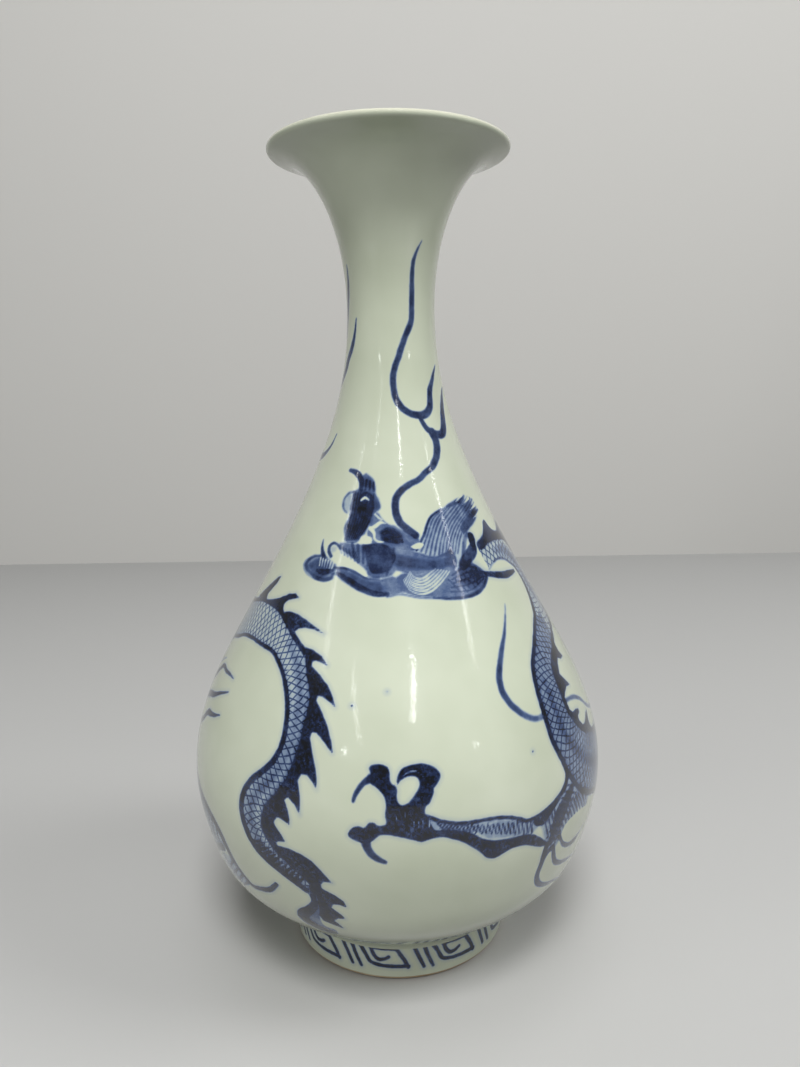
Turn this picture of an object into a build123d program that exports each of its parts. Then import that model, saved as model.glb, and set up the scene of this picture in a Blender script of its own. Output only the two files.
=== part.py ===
from build123d import *
import math
import os

# Porcelain bottle vase of the yuhuchunping form: a pear-shaped body, a slender neck and a trumpet mouth.
# Sizes are in millimetres, +Z is up, and the origin is the centre of the foot on the surface it stands on.
# The pot is thrown in four sections, which are luted one on the other with slip, and then glazed.
# Every piece is a full turn about +Z, so each one starts as a flat section: X is radius and Y is height.

# Heights, stacked from the foot to the lip
foot_height = 15.0
lower_belly_height = 54.5
shoulder_height = 165.5
mouth_height = 55.0

# Diameters, measured over the glaze
foot_diameter = 81.0
belly_diameter = 152.2
neck_diameter = 31.4
mouth_diameter = 84.4

# Clay walls, measured square to the outer face
lip_wall = 1.8
neck_wall = 3.2
belly_wall = 5.0
floor_thickness = 7.0

# Foot ring, which leans out towards the bowl, and the recess that is turned inside it
base_recess_depth = 10.0
foot_rim_width = 4.6
foot_inner_taper = 1.6
foot_bevel = 0.7
foot_lean = 1.2
root_fillet = 1.2

# Glaze coat and the slip that lutes the sections
glaze_thickness = 0.4
bare_rim_height = 1.5
slip_thickness = 0.5

# Room past the vase for the flat strips that part the sections
cut_overrun = 20.0

# Slope of the flaring lip above the horizontal, and of the bowl where it leaves the foot, in degrees
lip_slope = 16.0
root_slope = 35.0

# Places of the two body joints, as shares of the shoulder's height
belly_joint_share = 0.09
neck_joint_share = 0.70

# Outline points between the named circles: share of the rise, then share of the change in radius
lower_belly_shares = ((0.092, 0.204), (0.183, 0.399), (0.275, 0.572), (0.385, 0.730), (0.606, 0.885))
shoulder_shares = ((0.142, 0.934), (0.317, 0.702), (0.492, 0.434), (0.668, 0.202), (0.825, 0.056))
mouth_shares = ((0.492, 0.131), (0.757, 0.352), (0.899, 0.568), (0.965, 0.766))

# Number of even steps along the outer curve where the walls and coats are measured square to it
station_count = 26

# Levels and clay radii worked out from the sizes above
belly_level = foot_height + lower_belly_height
neck_level = belly_level + shoulder_height
overall_height = neck_level + mouth_height
belly_joint_level = belly_level + shoulder_height * belly_joint_share
neck_joint_level = belly_level + shoulder_height * neck_joint_share
floor_level = base_recess_depth + floor_thickness
foot_radius = foot_diameter / 2 - glaze_thickness
root_radius = foot_radius + foot_lean
belly_radius = belly_diameter / 2 - glaze_thickness
neck_radius = neck_diameter / 2 - glaze_thickness
rim_inner_radius = foot_radius - foot_rim_width
recess_radius = rim_inner_radius - foot_inner_taper
cut_radius = max(belly_diameter, mouth_diameter) / 2 + cut_overrun


def lip_start():
    """Where the outer curve of the clay runs into the half round of the lip."""
    round_radius = lip_wall / 2
    centre_x = mouth_diameter / 2 - glaze_thickness - round_radius
    centre_y = overall_height - glaze_thickness - round_radius
    slope = math.radians(lip_slope)
    return Vector(centre_x + round_radius * math.sin(slope), centre_y - round_radius * math.cos(slope))


def outer_clay_curve():
    """One smooth curve up the outside of the clay, from the foot's root to the lip."""
    lip = lip_start()
    points = [(root_radius, foot_height)]
    for rise, out in lower_belly_shares:
        points.append((root_radius + (belly_radius - root_radius) * out, foot_height + lower_belly_height * rise))
    points.append((belly_radius, belly_level))
    for rise, out in shoulder_shares:
        points.append((neck_radius + (belly_radius - neck_radius) * out, belly_level + shoulder_height * rise))
    points.append((neck_radius, neck_level))
    for rise, out in mouth_shares:
        points.append((neck_radius + (lip.X - neck_radius) * out, neck_level + (lip.Y - neck_level) * rise))
    points.append((lip.X, lip.Y))
    start = (math.cos(math.radians(root_slope)), math.sin(math.radians(root_slope)))
    end = (math.cos(math.radians(lip_slope)), math.sin(math.radians(lip_slope)))
    return Spline(*points, tangents=(start, end))


def wall_at(height):
    """Clay thickness: full in the belly, thinner up the neck, thinnest at the lip."""
    if height < belly_level:
        return belly_wall
    if height < neck_level:
        return belly_wall + (neck_wall - belly_wall) * (height - belly_level) / shoulder_height
    return neck_wall + (lip_wall - neck_wall) * (height - neck_level) / (lip_start().Y - neck_level)


def square_to(curve, share, distance):
    """The point at a distance inside a place on the curve, measured square to the curve."""
    place = curve @ share
    along = curve % share
    return (place.X - along.Y * distance, place.Y + along.X * distance)


def glazed_root():
    """Where the glazed wall of the foot meets the glazed bowl, a coat's thickness off the clay."""
    slope = math.radians(root_slope)
    drop = glaze_thickness * (1 - math.sin(slope)) / math.cos(slope)
    return (root_radius + glaze_thickness, foot_height - drop)


def curve_beside(outer, depth_at, first_point, first_direction):
    """A smooth curve that keeps a given depth inside the outer one."""
    points = [first_point]
    for station in range(1, station_count + 1):
        share = station / station_count
        points.append(square_to(outer, share, depth_at((outer @ share).Y)))
    end = outer % 1
    return Spline(*points, tangents=(first_direction, (end.X, end.Y)))


def glazed_outer_curve(outer):
    """The outer face of the glaze."""
    start = outer % 0
    return curve_beside(outer, lambda height: -glaze_thickness, glazed_root(), (start.X, start.Y))


def inner_clay_curve(outer):
    """The throwing face inside the pot, from the middle of its floor to the lip."""
    return curve_beside(outer, wall_at, (0, floor_level), (1, 0))


def inner_glaze_curve(outer):
    """The face of the glaze inside the pot."""
    start = (0, floor_level + glaze_thickness)
    return curve_beside(outer, lambda height: wall_at(height) + glaze_thickness, start, (1, 0))


def lip_arc(outer, coat):
    """The half round of the lip, in the clay or, a coat further out, in the glaze."""
    start = square_to(outer, 1, -coat)
    end = square_to(outer, 1, lip_wall + coat)
    middle = square_to(outer, 1, lip_wall / 2)
    reach = lip_wall / 2 + coat
    along = outer % 1
    return ThreePointArc(start, (middle[0] + along.X * reach, middle[1] + along.Y * reach), end)


def foot_wall_radius(height):
    """Radius of the clay on the outside of the foot, which leans out a little towards its root."""
    return foot_radius + (root_radius - foot_radius) * (height - foot_bevel) / (foot_height - foot_bevel)


def recess_wall_radius(height):
    """Radius of the clay inside the foot, which opens towards the standing rim."""
    return rim_inner_radius - foot_inner_taper * height / base_recess_depth


def filleted(face, corner):
    """The face with the inside corner at the foot's root rounded."""
    vertex = face.vertices().sort_by_distance(corner)[0]
    return fillet(vertex, root_fillet)


def clay_face(outer, inner):
    """The clay of the whole pot before it is parted into its thrown sections."""
    foot_outline = Polyline(
        (0, floor_level),
        (0, base_recess_depth),
        (recess_radius, base_recess_depth),
        (rim_inner_radius, 0),
        (foot_radius - foot_bevel, 0),
        (foot_radius, foot_bevel),
        (root_radius, foot_height),
    )
    face = make_face([foot_outline, outer, lip_arc(outer, 0), inner])
    return filleted(face, (root_radius, foot_height))


def outer_glaze_face(outer, glazed):
    """The coat over the outside, from the wiped edge above the standing rim up and over the lip."""
    clay_edge = (foot_wall_radius(bare_rim_height), bare_rim_height)
    glaze_edge = (clay_edge[0] + glaze_thickness, bare_rim_height)
    foot_coat = Polyline((root_radius, foot_height), clay_edge, glaze_edge, glazed_root())
    lip_end = Line(square_to(outer, 1, lip_wall), square_to(outer, 1, lip_wall + glaze_thickness))
    edges = [outer, lip_arc(outer, 0), lip_end, lip_arc(outer, glaze_thickness), glazed, foot_coat]
    face = filleted(make_face(edges), (root_radius, foot_height))
    return filleted(face, glazed_root())


def inner_glaze_face(outer, inner):
    """The coat inside the pot, from the middle of the floor to the lip."""
    lip_end = Line(square_to(outer, 1, lip_wall), square_to(outer, 1, lip_wall + glaze_thickness))
    floor_end = Line((0, floor_level), (0, floor_level + glaze_thickness))
    return make_face([inner, lip_end, inner_glaze_curve(outer), floor_end])


def base_glaze_face():
    """The coat under the base, which stops short of the standing rim."""
    edge_radius = recess_wall_radius(bare_rim_height)
    return make_face(
        Polyline(
            (0, base_recess_depth),
            (recess_radius, base_recess_depth),
            (edge_radius, bare_rim_height),
            (edge_radius - glaze_thickness, bare_rim_height),
            (recess_radius - glaze_thickness, base_recess_depth - glaze_thickness),
            (0, base_recess_depth - glaze_thickness),
            close=True,
        )
    )


def band(low, high):
    """A flat strip across the section between two heights."""
    return Pos(0, low) * Rectangle(cut_radius, high - low, align=(Align.MIN, Align.MIN))


def clay_sections(clay):
    """The four thrown sections and the three slip joints between them."""
    foot_slip = base_recess_depth - slip_thickness
    belly_slip = belly_joint_level + slip_thickness
    neck_slip = neck_joint_level + slip_thickness
    return {
        "foot_ring": clay & band(0, foot_slip),
        "foot_slip_joint": clay & band(foot_slip, base_recess_depth),
        "belly_section": clay & band(base_recess_depth, belly_joint_level),
        "belly_slip_joint": clay & band(belly_joint_level, belly_slip),
        "shoulder_section": clay & band(belly_slip, neck_joint_level),
        "neck_slip_joint": clay & band(neck_joint_level, neck_slip),
        "neck_section": clay & band(neck_slip, overall_height),
    }


def turn(face):
    """The solid that a flat section makes in one full turn about the vase's axis."""
    return revolve(Plane.XZ * face, Axis.Z, 360)


outer_curve = outer_clay_curve()
inner_curve = inner_clay_curve(outer_curve)
flat_sections = clay_sections(clay_face(outer_curve, inner_curve))
flat_sections["outer_glaze"] = outer_glaze_face(outer_curve, glazed_outer_curve(outer_curve))
flat_sections["inner_glaze"] = inner_glaze_face(outer_curve, inner_curve)
flat_sections["base_glaze"] = base_glaze_face()

os.makedirs("parts", exist_ok=True)
for node_name, flat_section in flat_sections.items():
    export_step(turn(flat_section), "parts/" + node_name + ".step")
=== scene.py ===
import math
import random

import bmesh
import bpy
import numpy as np
from mathutils import Matrix, Vector


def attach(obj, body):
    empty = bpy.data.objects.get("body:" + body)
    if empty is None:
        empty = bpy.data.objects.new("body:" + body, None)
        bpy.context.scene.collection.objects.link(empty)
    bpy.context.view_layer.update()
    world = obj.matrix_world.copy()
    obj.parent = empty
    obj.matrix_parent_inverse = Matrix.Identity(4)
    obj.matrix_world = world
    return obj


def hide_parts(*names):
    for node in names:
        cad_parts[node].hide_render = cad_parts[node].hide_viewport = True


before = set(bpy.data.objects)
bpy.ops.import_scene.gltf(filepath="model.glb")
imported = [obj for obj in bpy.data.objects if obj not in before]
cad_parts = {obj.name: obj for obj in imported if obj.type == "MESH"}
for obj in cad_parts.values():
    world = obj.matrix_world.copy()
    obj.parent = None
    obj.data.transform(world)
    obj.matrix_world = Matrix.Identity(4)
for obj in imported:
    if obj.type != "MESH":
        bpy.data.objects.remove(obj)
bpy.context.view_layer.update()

bl_info = {
    "name": "Blue and white bottle vase",
    "version": (1, 0, 0),
    "blender": (4, 5, 0),
    "location": "View3D > Sidebar > Vase",
    "description": "A pear-shaped porcelain bottle vase painted in cobalt under a celadon-white glaze",
    "category": "Object",
}

# Lengths below are in millimetres where nothing else is said
MM = 0.001
ROOT_BODY = "root"

# Outline points between the named circles: share of the rise, then share of the change in radius
LOWER_BELLY_SHARES = ((0.092, 0.204), (0.183, 0.399), (0.275, 0.572), (0.385, 0.730), (0.606, 0.885))
SHOULDER_SHARES = ((0.142, 0.934), (0.317, 0.702), (0.492, 0.434), (0.668, 0.202), (0.825, 0.056))
MOUTH_SHARES = ((0.492, 0.131), (0.757, 0.352), (0.899, 0.568), (0.965, 0.766))

# Points worked out on the outer curve, on the foot's wall and on the half round of the lip
CURVE_POINTS, FOOT_POINTS, LIP_POINTS = 4000, 200, 40

# Spacing of the finished outline, and the room above the foot's wall in which no point of the bowl is kept
OUTLINE_STEP = 0.1
ROOT_ROOM = 0.01

# Distance each way along the outline over which its direction is worked out
FACING_REACH = 0.15

# How far the glaze stays inside the CAD model's faceted surface
MESH_ROOM = 0.03

# Radius of the pinhole left at a pole before its points are merged
POLE_GAP = 0.05

# Points this near are one point, and edges that turn less than this, in degrees, look smooth
SAME_PLACE = 0.0005
SMOOTH_TURN = 40

# Columns round the painted bands, the neck, the mouth and the base, and the equal sectors that they are spun in
COLUMNS = 720
NECK_COLUMNS = 360
MOUTH_COLUMNS = 480
BASE_COLUMNS = 240
SECTORS = 12

# Bands of the painted glaze above the wiped edge: name, height of the top, spacing of the rows and columns
BANDS = (
    ("glaze_foot", 18.0, 0.45, COLUMNS),
    ("glaze_bowl", 75.0, 0.66, COLUMNS),
    ("glaze_shoulder", 138.0, 0.6, COLUMNS),
    ("glaze_neck_root", 186.0, 0.45, COLUMNS),
    ("glaze_neck", 262.0, 0.5, NECK_COLUMNS),
)
MOUTH_ROWS = 110

# Every so many rows of the outer face, the back of a band has one
BACK_ROWS = 12

# How near a mesh point lies to the outline's own when it carries paint
PAINTED_ROOM = 0.02

# Radius of the pooled glaze inside the foot's corner, its points, and the share of the coat at the wiped edge
BASE_ROUNDING = 2.0
BASE_POINTS = 7
WIPED_SHARE = 0.6

# Where the glaze lies thick round the foot's root, and where it drains thin under the top of the lip
POOL_RISE, POOL_REACH = 0.5, 4.0
THIN_FROM, THIN_FULL = 1.8, 0.6

# Sizes of the patterns in the materials: stains and pores in the clay, clouds, iron cells, waves, orange peel and
# pinprick in the glaze, and the bleeding edges, pools, grain and unsteady hand of the painting, whose pools and grain
# also paint glints on heaped cobalt. Real pores and pinpricks are a few times finer, and are drawn this coarse so that
# they show.
PATTERNS = {
    "stain": 9.0,
    "clay_pore": 0.5,
    "slip_pore": 0.3,
    "cloud": 45.0,
    "iron_cell": 11.0,
    "wave": 7.0,
    "peel": 1.5,
    "pinprick": 0.8,
    "bleed": 2.4,
    "pool": 5.0,
    "grain": 1.0,
    "sway": 9.0,
}
SCALES = {name: 1 / (size * MM) for name, size in PATTERNS.items()}

# Each layer of brushwork: depth from its edge where it begins and where it is full, and its strength
LAYER_EDGES = {
    "line": (-0.38, 0.42, 0.74),
    "wash": (-0.5, 0.6, 0.42),
    "pale": (-0.6, 0.9, 0.2),
    "mist": (-2.6, 1.6, 0.26),
    "deep": (-0.38, 0.42, 0.27),
    "clear": (-0.35, 0.35, 1.0),
    "skin": (-0.3, 0.3, 1.0),
}

# How far bleeding moves an edge, the depth from which a line heaps up and where it is heaped, and its faint halo
EDGE_WANDER = 0.11
HEAP_FROM, HEAP_FULL = 0.3, 2.2
HALO_REACH, HALO_STRENGTH = 1.6, 0.1

# The most that washes add up to, and the least and most that pooling leaves of them; the pooling's fine mottle
# is partly painted glints off the heaped cobalt
FULL_WASH = 0.86
POOLING_AND_GLINTS = (0.74, 1.24)

# What heaping adds to a line's tone, the least and most that its grains add (dark heaped specks, and light flecks that
# are painted glints off the heaped cobalt), and their share where it isn't heaped
HEAP_TONE = 0.2
GRAIN_AND_GLINT_RANGE = (-0.2, 0.24)
FLAT_GRAIN_AND_GLINT_SHARE = 0.35

# Share of the cells that hold no iron speck, and the middle range of a noise pattern, where most of it lies
PLAIN_CELLS = 0.8
NOISE_RANGE = (0.25, 0.75)

# Strengths at which the ink has its four colours, and at which it hides the glaze's own colour
INK_STOPS = (0.2, 0.47, 0.76, 1.0)
INK_COVERS = 0.26

# A drawn scale's size along and across the body, the strength of its lines and the tone between them
SCALE_LENGTH = 2.5
SCALE_WIDTH = 3.9
NET_STRENGTH, NET_GROUND = 0.36, 0.15

# Spacing of the points that a stroke, and a body's long side, are drawn with, and the points of each side
STROKE_STEP, SIDE_STEP = 1.2, 0.8
SIDE_POINTS = 80

# Depth that stands for no paint, and distances that stand for far away
DRY = -9.0
FAR_EDGE, FAR_FLOW, FAR_PAINT = 9.0, 99.0, 400

# How far past its edge a mark is worked out, how far from its middle line a body's skin may reach, and how far off
# a band a mark is left out of it
MARK_REACH = 2.0
FLOW_REACH = 14.0
BAND_ROOM = 4

# Places along the back's upper edge, of which every fourth has a spine
SPINE_PLACES = 40

# Spirals in the key fret round the foot, and how far each may slip round and up
FRET_UNITS = 10
FRET_SLIP, FRET_RISE = 0.8, 0.25

# Past this angle each way a mark is painted once more from the other side of the seam
SEAM_ANGLE = 170

# The camera, as fitted to the photograph: shares of the vase's height, a lens and three turns
CAMERA_BACK_SHARE = 1.0609
CAMERA_UP_SHARE = 0.7039
LENS, SENSOR = 37.53, 36.0
PITCH, YAW, ROLL = 0.1606, 0.0070, 0.0141
CLIPS = (0.01, 20)

# The stage in metres: half sizes of the floor and the backdrop, the backdrop's place and the floor's hair of room
FLOOR_HALF, BACKDROP_HALF = 1.4, 1.8
BACKDROP_BACK, BACKDROP_UP = 0.75, 0.9
FLOOR_DROP = 0.0002
LAMP_AIM = (0, 0, 0.12)

# Broad soft lamps: name, place and size in metres, and power in watts
SOFT_LAMPS = (
    ("lamp_front", (0, -1.0, 1.6), 0.6, 0.6, 20.5),
    ("lamp_overhead", (0, -0.1, 1.8), 0.8, 0.8, 5.5),
    ("lamp_right", (1.3, -0.3, 1.2), 0.6, 0.6, 9.5),
    ("lamp_left", (-1.4, -0.8, 0.8), 0.5, 0.9, 2.0),
    ("lamp_low_left", (-1.0, -1.2, 0.12), 0.4, 0.4, 5.5),
    ("lamp_low_right", (1.1, -1.0, 0.15), 0.4, 0.4, 2.5),
)

# Ceiling tubes that show in the glaze: name, start, end and width in metres, the ceiling's height and how bright
TUBES = (
    ("tube_back_left", (-2.0, -5.3), (-1.58, -2.5), 0.04),
    ("tube_left", (-2.74, -2.0), (-2.7, -1.28), 0.04),
    ("tube_middle", (0.68, -3.9), (0.62, -2.6), 0.13),
    ("tube_right", (3.0, -1.75), (2.95, -1.15), 0.07),
    ("tube_far_left", (-3.1, -5.6), (-3.5, -6.0), 0.35),
    ("tube_far_right", (5.1, -5.1), (5.3, -5.5), 0.35),
)
CEILING = 2.4
TUBE_RADIANCE = 16.0


def linear(hex_colour):
    """An sRGB hex colour as linear red, green, blue and a full alpha."""
    parts = [int(hex_colour[i:i + 2], 16) / 255 for i in (1, 3, 5)]
    return tuple(c / 12.92 if c <= 0.04045 else ((c + 0.055) / 1.055) ** 2.4 for c in parts) + (1.0,)


def length(name, default, description):
    """A length property in metres."""
    return bpy.props.FloatProperty(name=name, description=description, default=default * MM, min=0, unit="LENGTH")


def colour(name, default, description):
    """A colour property, from a hex value."""
    return bpy.props.FloatVectorProperty(
        name=name, description=description, default=linear(default), size=4, subtype="COLOR", min=0, max=1)


class VaseSizes(bpy.types.PropertyGroup):
    """The vase's sizes: lengths in metres, and slopes in radians"""

    foot_height: length("Foot height", 15.0, "From the ground to the root of the bowl")
    lower_belly_height: length("Lower belly height", 54.5, "From the root to the widest circle")
    shoulder_height: length("Shoulder height", 165.5, "From the widest circle to the narrowest")
    mouth_height: length("Mouth height", 55.0, "From the narrowest circle to the lip")
    foot_diameter: length("Foot diameter", 81.0, "Over the glaze, at the ground")
    foot_lean: length("Foot lean", 1.2, "How far the foot leans out from the ground to the bowl")
    belly_diameter: length("Belly diameter", 152.2, "Over the glaze")
    neck_diameter: length("Neck diameter", 31.4, "Over the glaze")
    mouth_diameter: length("Mouth diameter", 84.4, "Over the glaze")
    lip_wall: length("Lip wall", 1.8, "Clay thickness at the lip")
    base_recess_depth: length("Base recess depth", 10.0, "Depth turned out inside the foot ring")
    foot_rim_width: length("Foot rim width", 4.6, "Width of the foot ring where it stands")
    foot_inner_taper: length("Foot inner taper", 1.6, "How far the inside of the foot ring leans in")
    foot_bevel: length("Foot bevel", 0.7, "Chamfer turned on the outer edge of the foot ring")
    root_rounding: length("Root rounding", 1.5, "Radius of the glaze pooled where the bowl meets the foot")
    glaze_thickness: length("Glaze thickness", 0.4, "Coat over the clay")
    bare_rim_height: length("Bare rim height", 1.5, "Height to which the glaze is wiped off the foot")
    lip_slope: bpy.props.FloatProperty(
        name="Lip slope", description="Slope of the flaring lip above the horizontal",
        default=math.radians(16), subtype="ANGLE")
    root_slope: bpy.props.FloatProperty(
        name="Root slope", description="Slope of the bowl where it leaves the foot",
        default=math.radians(35), subtype="ANGLE")


class VaseColours(bpy.types.PropertyGroup):
    """The colours of the vase and of its studio"""

    glaze: colour("Glaze", "#d2d9c4", "Thin celadon-white glaze on the body")
    pooled: colour("Pooled glaze", "#b4bda3", "Where the glaze lies thick")
    lip: colour("Lip", "#dcdcc8", "Where the glaze drains thin over the rim")
    clay: colour("Clay", "#c9bca2", "Bare fired porcelain")
    slip: colour("Slip", "#d8ceb8", "Luting slip in the joints")
    stain: colour("Stain", "#b99a72", "Warm stain that deepens the bare clay")
    iron: colour("Iron", "#4a3a2a", "Iron that burnt through the glaze")
    pale_wash: colour("Pale wash", "#93a5b9", "Thinnest cobalt wash")
    mid_wash: colour("Mid wash", "#465a82", "Cobalt wash")
    strong_line: colour("Strong line", "#162446", "Brush line")
    heaped: colour("Heaped cobalt", "#03060f", "Cobalt that gathered and burnt dark")
    floor: colour("Floor", "#c6c6c4", "Plain studio floor")
    backdrop: colour("Backdrop", "#d4d3cf", "Plain studio backdrop")
    floor_bounce: colour("Floor bounce", "#646462", "What the floor throws back on the vase")
    backdrop_bounce: colour("Backdrop bounce", "#7e7e7c", "What the backdrop throws back on the vase")
    air: colour("Air", "#7c7c79", "The studio beyond the backdrop, seen or mirrored")
    air_bounce: colour("Air bounce", "#3c3c3c", "What the studio throws back on the vase")


def sizes():
    """The sizes in millimetres, by name."""
    held = bpy.context.scene.vase_sizes
    angles = {"lip_slope", "root_slope"}
    return type("Sizes", (), {
        name: getattr(held, name) if name in angles else getattr(held, name) / MM
        for name in VaseSizes.__annotations__
    })


def smooth_curve(points, start, end, count):
    """Places and directions along a cubic through the points, with set directions at its ends."""
    points = np.array(points, float)
    steps = np.hypot(*np.diff(points, axis=0).T)
    knots = np.concatenate([[0], np.cumsum(steps)])
    size = len(points)
    matrix = np.zeros((size, size))
    sides = np.zeros((size, 2))
    matrix[0, 0] = matrix[-1, -1] = 1
    sides[0], sides[-1] = start, end
    for i in range(1, size - 1):
        before, after = steps[i - 1], steps[i]
        matrix[i, i - 1:i + 2] = after, 2 * (before + after), before
        sides[i] = 3 * (after * (points[i] - points[i - 1]) / before + before * (points[i + 1] - points[i]) / after)
    slopes = np.linalg.solve(matrix, sides)
    at = np.linspace(0, knots[-1], count)
    span = np.clip(np.searchsorted(knots, at, side="right") - 1, 0, size - 2)
    width = steps[span]
    t = ((at - knots[span]) / width)[:, None]
    width = width[:, None]
    p, q, m, n = points[span], points[span + 1], slopes[span] * width, slopes[span + 1] * width
    place = p * (2 * t**3 - 3 * t**2 + 1) + m * (t**3 - 2 * t**2 + t) + q * (3 * t**2 - 2 * t**3) + n * (t**3 - t**2)
    lead = p * (6 * t**2 - 6 * t) + m * (3 * t**2 - 4 * t + 1) + q * (6 * t - 6 * t**2) + n * (3 * t**2 - 2 * t)
    lead /= width
    return place, lead / np.hypot(*lead.T)[:, None]


class Outline:
    """The glazed outside of the vase from the wiped edge over the lip, as radius and height in millimetres."""

    def __init__(self, s):
        coat = s.glaze_thickness
        cover = coat - MESH_ROOM
        root = s.foot_diameter / 2 + s.foot_lean - coat
        belly = s.belly_diameter / 2 - coat
        neck = s.neck_diameter / 2 - coat
        belly_level = s.foot_height + s.lower_belly_height
        neck_level = belly_level + s.shoulder_height
        self.height = neck_level + s.mouth_height
        half = s.lip_wall / 2
        lip_centre = np.array([s.mouth_diameter / 2 - coat - half, self.height - coat - half])
        lip = lip_centre + half * np.array([math.sin(s.lip_slope), -math.cos(s.lip_slope)])
        points = [(root, s.foot_height)]
        points += [(root + (belly - root) * out, s.foot_height + s.lower_belly_height * up)
                   for up, out in LOWER_BELLY_SHARES]
        points += [(belly, belly_level)]
        points += [(neck + (belly - neck) * out, belly_level + s.shoulder_height * up) for up, out in SHOULDER_SHARES]
        points += [(neck, neck_level)]
        points += [(neck + (lip[0] - neck) * out, neck_level + (lip[1] - neck_level) * up) for up, out in MOUTH_SHARES]
        points += [tuple(lip)]
        start = math.cos(s.root_slope), math.sin(s.root_slope)
        end = math.cos(s.lip_slope), math.sin(s.lip_slope)
        clay, along = smooth_curve(points, start, end, CURVE_POINTS)
        glazed = clay + np.stack([along[:, 1], -along[:, 0]], 1) * cover
        turns = np.linspace(s.lip_slope - math.pi / 2, s.lip_slope + math.pi / 2, LIP_POINTS)
        round_lip = lip_centre + np.stack([np.cos(turns), np.sin(turns)], 1) * (half + cover)
        foot_top = s.foot_height - coat * (1 - math.sin(s.root_slope)) / math.cos(s.root_slope)
        lean = s.foot_lean / (s.foot_height - s.foot_bevel)
        low = s.foot_diameter / 2 - MESH_ROOM + lean * (s.bare_rim_height - s.foot_bevel)
        high = s.foot_diameter / 2 - MESH_ROOM + s.foot_lean
        wall = np.linspace((low, s.bare_rim_height), (high, foot_top), FOOT_POINTS)
        bowl = glazed[glazed[:, 1] > foot_top + ROOT_ROOM]
        outer = even(np.concatenate([wall, bowl, round_lip[1:]]), OUTLINE_STEP)
        self.outer = rounded(outer, foot_top, s.root_rounding)
        self.run = np.concatenate([[0], np.cumsum(np.hypot(*np.diff(self.outer, axis=0).T))])
        self.top = int(np.argmax(self.outer[:, 1]))

    def run_at(self, height):
        """Distance up the glazed outside from the wiped edge, at a height."""
        return np.interp(height, self.outer[:self.top, 1], self.run[:self.top])

    def place_at(self, run):
        """Radius and height at a distance up the glazed outside."""
        return np.stack([np.interp(run, self.run, self.outer[:, 0]), np.interp(run, self.run, self.outer[:, 1])], -1)

    def facing_at(self, run):
        """Direction, as radius and height, that the glaze faces."""
        step = self.place_at(np.asarray(run) + FACING_REACH) - self.place_at(np.asarray(run) - FACING_REACH)
        step /= np.maximum(np.hypot(step[..., 0], step[..., 1]), 1e-9)[..., None]
        return np.stack([step[..., 1], -step[..., 0]], -1)


def even(points, step):
    """The same line with its points a step apart."""
    run = np.concatenate([[0], np.cumsum(np.hypot(*np.diff(points, axis=0).T))])
    at = np.linspace(0, run[-1], int(run[-1] / step) + 1)
    return np.stack([np.interp(at, run, points[:, 0]), np.interp(at, run, points[:, 1])], 1)


def rounded(points, level, radius):
    """The line with its corner at a level blended over the radius."""
    middle = int(np.argmin(np.abs(points[:, 1] - level)))
    reach = int(radius / OUTLINE_STEP)
    out = points.copy()
    for i in range(middle - 2 * reach, middle + 2 * reach + 1):
        share = max(0.0, 1 - abs(i - middle) / (2 * reach))
        half = int(reach * share)
        out[i] = points[i - half:i + half + 1].mean(0)
    return out


def add(tree, kind, *values, **settings):
    """Adds a shader node, sets its properties, and fills or links its inputs in order."""
    made = tree.nodes.new("ShaderNode" + kind)
    named = settings.pop("named", {})
    for key, value in settings.items():
        setattr(made, key, value)
    pairs = list(zip(made.inputs, values)) + [(made.inputs[key], value) for key, value in named.items()]
    for socket, value in pairs:
        if isinstance(value, bpy.types.Node):
            value = value.outputs[0]
        if isinstance(value, bpy.types.NodeSocket):
            tree.links.new(value, socket)
        elif value is not None:
            socket.default_value = value
    return made


def new_material(name):
    """A material with only its output."""
    material = bpy.data.materials.new(name)
    material.use_nodes = True
    material.node_tree.nodes.clear()
    return material, material.node_tree


def fired_clay(name, tint, pore, c):
    """Thrown and turned porcelain clay, fired bare: dry and matt, with faint warm stains and open pores."""
    material, tree = new_material(name)
    place = add(tree, "TexCoord").outputs["Object"]
    stain = add(tree, "TexNoise", named={"Vector": place, "Scale": SCALES["stain"], "Detail": 4.0})
    pores = add(tree, "TexNoise", named={"Vector": place, "Scale": SCALES[pore], "Detail": 3.0})
    warm = add(tree, "Mix", data_type="RGBA", blend_type="MULTIPLY",
               named={"Factor": stain, "A": tint, "B": tuple(c.stain)})
    dented = add(tree, "Bump", named={"Strength": 0.35, "Distance": 0.1 * MM, "Height": pores})
    shade = add(tree, "BsdfPrincipled",
                named={"Base Color": warm.outputs["Result"], "Roughness": 0.72, "IOR": 1.5, "Normal": dented})
    add(tree, "OutputMaterial", shade)
    return material


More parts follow.
